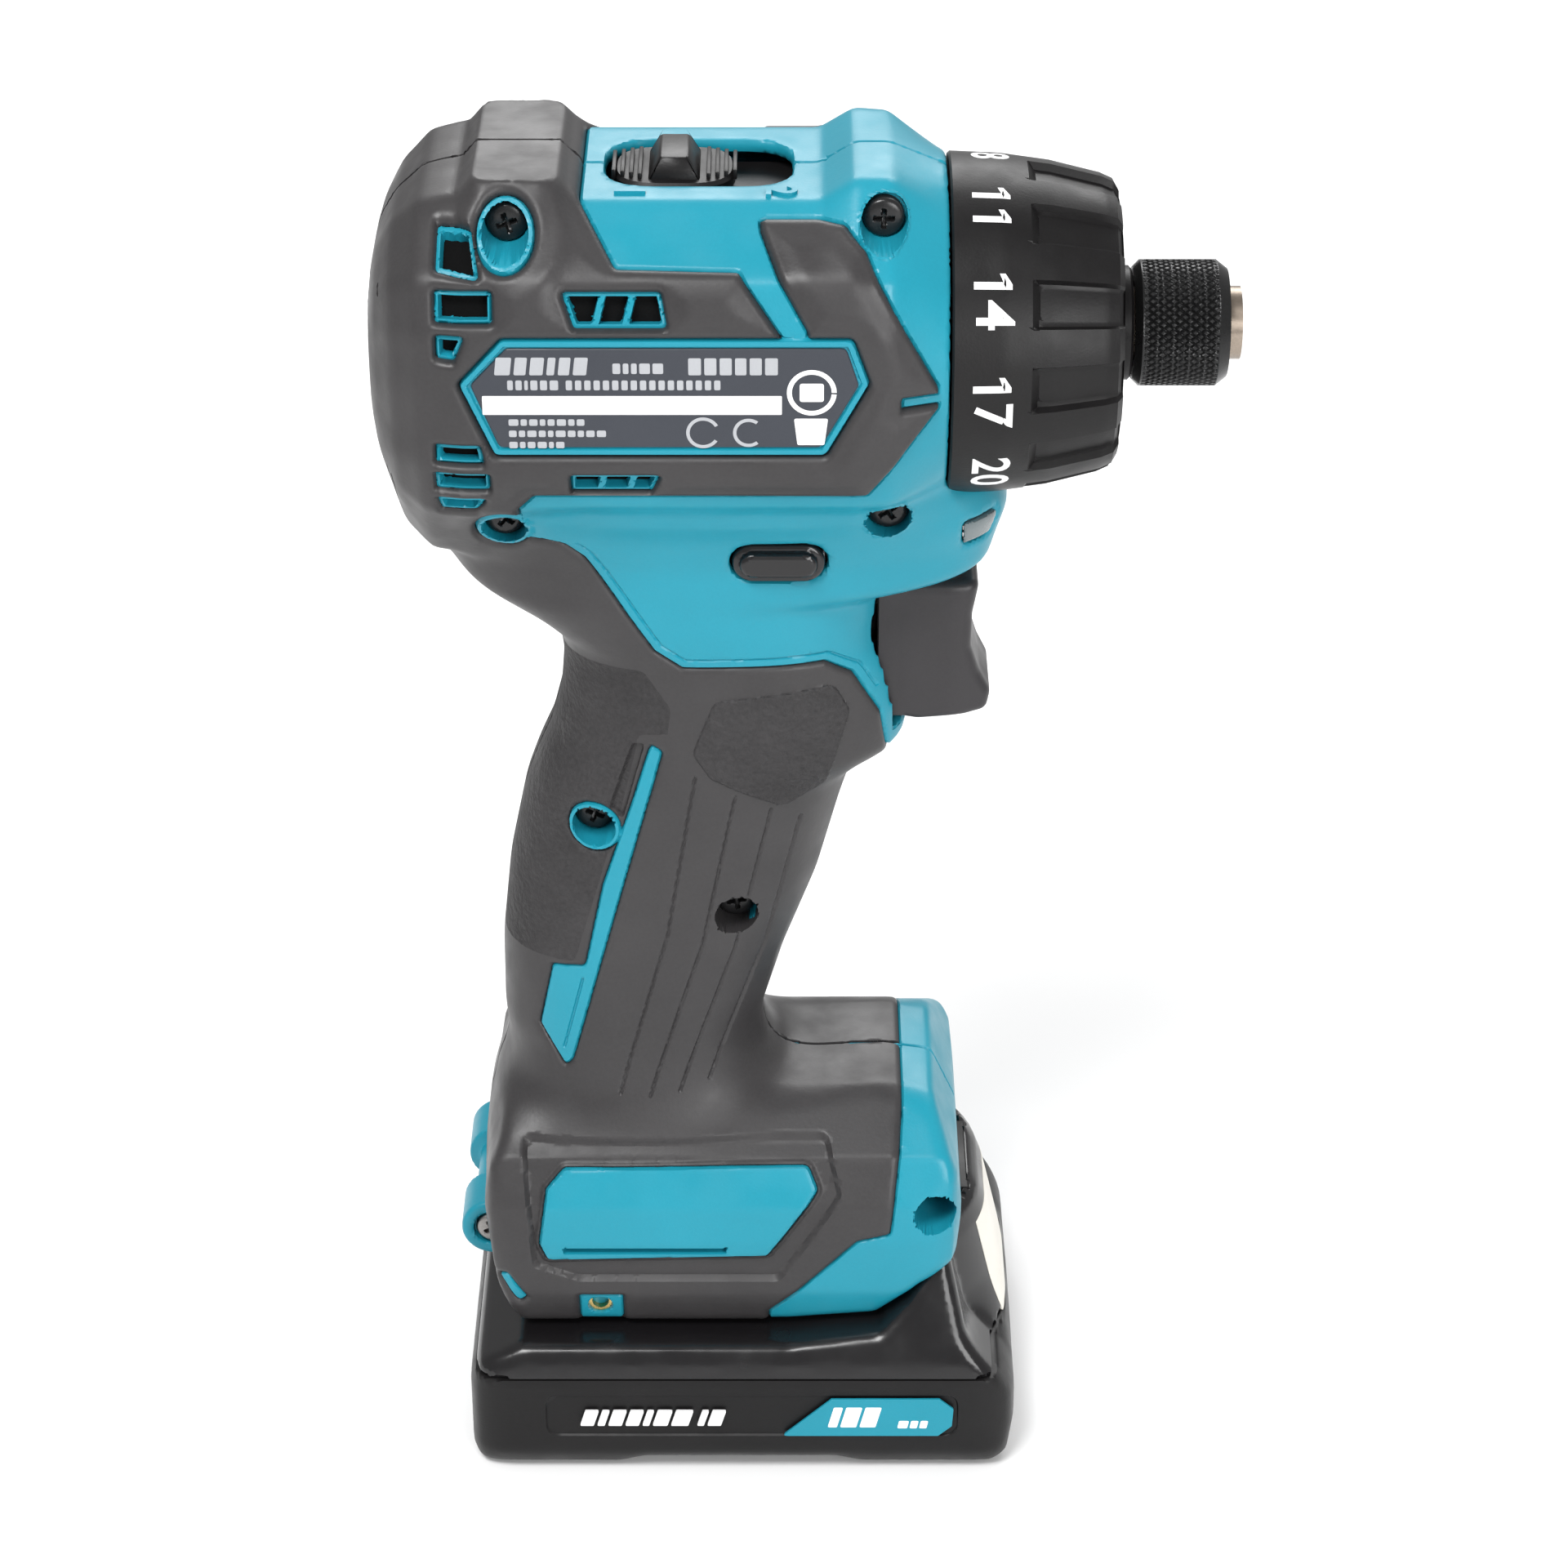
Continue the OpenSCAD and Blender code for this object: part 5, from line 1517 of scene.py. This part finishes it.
def build_rating_plates():
    face = [(-47.6, 191.5), (-42.4, 197.1), (5.1, 197.1), (6.9, 191.5), (1.6, 181.9), (-43.8, 181.9)]
    light, white = plate_prints()
    for side, facing in SIDES:
        for name, finish, shapes, low, high, edge in (
            ("rating_plate", "label", [rounded(face, 1.0, 4)], 27.6, 28.32, 0.12),
            ("plate_print_grey", "print_grey", light, 28.3, 28.36, 0.02),
            ("plate_print_white", "print_white", white, 28.3, 28.36, 0.02),
        ):
            points, faces = facing(*joined(*(plate(shape, low, high, edge) for shape in shapes)))
            if side == "left" and finish != "label":  # the print reads the right way round there too
                points = points * [-1, 1, 1] + [2 * PLATE_MIDDLE, 0, 0]
                faces = [f[::-1] for f in faces]
            nodes = ["name_plates"] if (name, side) == ("rating_plate", "right") else []
            piece(f"{name}_{side}", (points, faces), finish, "housing", *nodes)


# ----------------------------------------------------------------- battery

BATTERY_SIDE = rounded(
    [
        (-53, 0), (-30, 0), (-26, 1.8), (5, 1.8), (9, 0), (30, 0), (33, 2), (34.5, 8), (34.4, 14), (31.6, 26),
        (29.3, 36), (28.2, 39), (25.8, 41.6), (25.4, 37), (18.3, 32.3), (11.4, 25.6), (-3, 23.9),
        (-45.5, 23.9), (-53, 20.6), (-55, 15), (-55, 3),
    ],
    (2, 4, 4, 4, 4, 2, 2, 4, 4, 6, 3, 1, 0.6, 1.5, 1.5, 2, 3, 4, 3, 3, 2),
)  # fmt: skip
BATTERY_END = rounded(
    [
        (-30, 0), (30, 0), (33, 4), (33, 18.5), (31, 22.5), (24, 37), (18, 42), (-18, 42), (-24, 37),
        (-31, 22.5), (-33, 18.5), (-33, 4),
    ],
    (2.5, 2.5, 3, 3, 4, 3, 2, 2, 3, 4, 3, 3),
)  # fmt: skip
BATTERY_PLAN = rounded([(-55, -33), (34.5, -33), (34.5, 33), (-55, 33)], 9, 9)
BATTERY_SEAM = 18.5
BATTERY_WALL = 1.9
BATTERY_PITCH = 0.8
LABEL_EDGE = 0.25
SIDE_LABEL = rounded([(-41.9, 7.4), (24.4, 7.4), (24.4, 15.6), (-41.9, 15.6)], 2.2)
NOSE_LABEL_HALF = 13.5


def battery_field(x, y, z):
    bow = 5.0 * np.clip((np.abs(y) - 5) / 13, 0, 1.1) ** 2 * ease((z - 12) / 14) * ease((x - 16) / 7)
    side = -inside_by(x + bow, z, BATTERY_SIDE)
    end = -inside_by(y, z, BATTERY_END)
    plan = -inside_by(x, y, BATTERY_PLAN)
    body = smooth_max(smooth_max(side, end, 2.2), plan, 3.0)
    tongue = box_field(x, y, z, (-37, -14, 20), (14, 14, 31))
    flange = box_field(x, y, z, (-37, -16.5, 27.8), (14, 16.5, 31))
    rail = smooth_max(np.minimum(tongue, flange), -1.0, 0.1)  # no deeper than the wall, so it stays solid
    for middle in (-8, 0, 8):
        rail = np.maximum(rail, -box_field(x, y, z, (-40, middle - 0.9, 25.5), (-24, middle + 0.9, 32)))
    return np.minimum(body, rail)


def build_battery_case(name, finish, keep, node, grow):
    """One battery case: the part of the hollow form on its side of the seam."""

    def solid(x, y, z):
        return battery_field(x, y, z) - grow

    def hollow(x, y, z):
        outer = solid(x, y, z)
        return np.maximum(np.maximum(outer, -(outer + BATTERY_WALL)), keep(z))

    points, faces = surface_net(hollow, (-57, -35, -1.2), (36.5, 35, 43.5), BATTERY_PITCH)
    outer = (np.abs(solid(*points.T)) < 0.5) & (keep(points[:, 2]) < -0.25)
    points[outer] = settle(solid, points[outer], 3, 0.5)
    rim = ~outer & (keep(points[:, 2]) > -0.5)
    points[rim, 2] += keep(points[rim, 2]) * (-1 if name == "battery_case_low" else 1)
    extra = (outer & (np.abs(points[:, 1]) > 30)).astype(float)[:, None]
    field = lambda p, e: np.where(e[:, 0] > 0.5, inside_by(p[:, 0], p[:, 2], SIDE_LABEL), FAR_OUTSIDE)
    points, faces, extra = cut_all(points, faces, extra, [(field, (0.0, LABEL_EDGE))])
    marked = extra[:, 0] > 0.5
    x, y, z = points[marked].T
    points[marked, 1] -= np.sign(y) * (0.3 * unit(inside_by(x, z, SIDE_LABEL) / LABEL_EDGE))
    piece(name, (within_box(points), faces), finish, "battery", node)


def build_battery():
    seam = BATTERY_SEAM + 0.12
    below, above = (lambda z: z - BATTERY_SEAM + 0.12), (lambda z: seam - z)
    build_battery_case("battery_case_low", "black_matte", below, "battery_lower_case", 0.0)
    build_battery_case("battery_case_top", "black_plastic", above, "battery_upper_case", -0.25)
    teal = rounded([(-3.9, 7.8), (4.0, 15.2), (21.3, 15.2), (23.6, 13.2), (23.4, 9.8), (21.2, 7.8)], 0.3, 3)
    white = word_bars(3.4, 9.6, (1.5, 2.6, 2.6), 4.0, 0.5, 0.25)
    white += word_bars(14.6, 9.4, (1.6, 1.2, 1.2), 1.5, 0.35, 0.2)
    white += word_bars(-36.4, 9.9, (2.2, 1.2, 2.2, 2.2, 1.1, 2.4, 2.8), 3.0, 0.55, 0.3)
    white += word_bars(-17.6, 9.9, (1.1, 2.2), 3.0, 0.55, 0.3)
    for side, facing in SIDES:
        for name, finish, shapes, high in (
            ("battery_mark_teal", "casing_teal", [teal], 32.78),
            ("battery_mark_white", "print_white", white, 32.84),
        ):
            marks = joined(*(plate(shape, 32.4, high, 0.03) for shape in shapes))
            piece(f"{name}_{side}", facing(*marks), finish, "battery")
    build_nose_label()
    profile = ((23.0, 33), (23.0, 40.2), (26.6, 40.2), (27.4, 33))
    latch = convex([(x, y, z) for x, z in profile for y in (-9.9, 9.9)], 0.7, 3)
    piece("battery_latch", latch, "black_matte", "battery_button", "battery_button", slot="black_plastic")


def build_nose_label():
    """The pale label wrapped on the sloping front of the battery."""
    side = np.array([p for p in BATTERY_SIDE if p[0] > 27.5 and 9.0 < p[1] < 39.2])
    side = side[np.argsort(side[:, 1])]
    heights = np.linspace(13.0, 36.0, 24)
    widths = np.linspace(-NOSE_LABEL_HALF, NOSE_LABEL_HALF, 36)
    z, y = (v.ravel() for v in np.meshgrid(heights, widths, indexing="ij"))
    x = np.interp(z, side[:, 1], side[:, 0])
    points = np.stack([x, y, z], 1)
    solid = lambda a, b, c: battery_field(a, b, c) + 0.25
    points = settle(solid, points, 4, 1.0)
    normal = slope(solid, points)
    normal /= np.linalg.norm(normal, axis=1, keepdims=True)
    n = len(widths)
    faces = []
    for i in range(len(heights) - 1):
        for k in range(n - 1):
            a = i * n + k
            faces += [(a, a + 1, a + n + 1), (a, a + n + 1, a + n)]
    p, f = slab(points + 0.08 * normal, points - 0.2 * normal, np.array(faces))
    piece("battery_nose_label", (within_box(p), f), "print_cream", "battery")


build_camera()
build_stage()
build_lights()
finish_cad_nodes()
build_casing()
build_rating_plates()
build_screws()
build_torque_ring()
build_ring_numbers()
build_chuck()
build_selector()
build_slot_digits()
build_controls()
build_lug()
build_inserts()
build_battery()
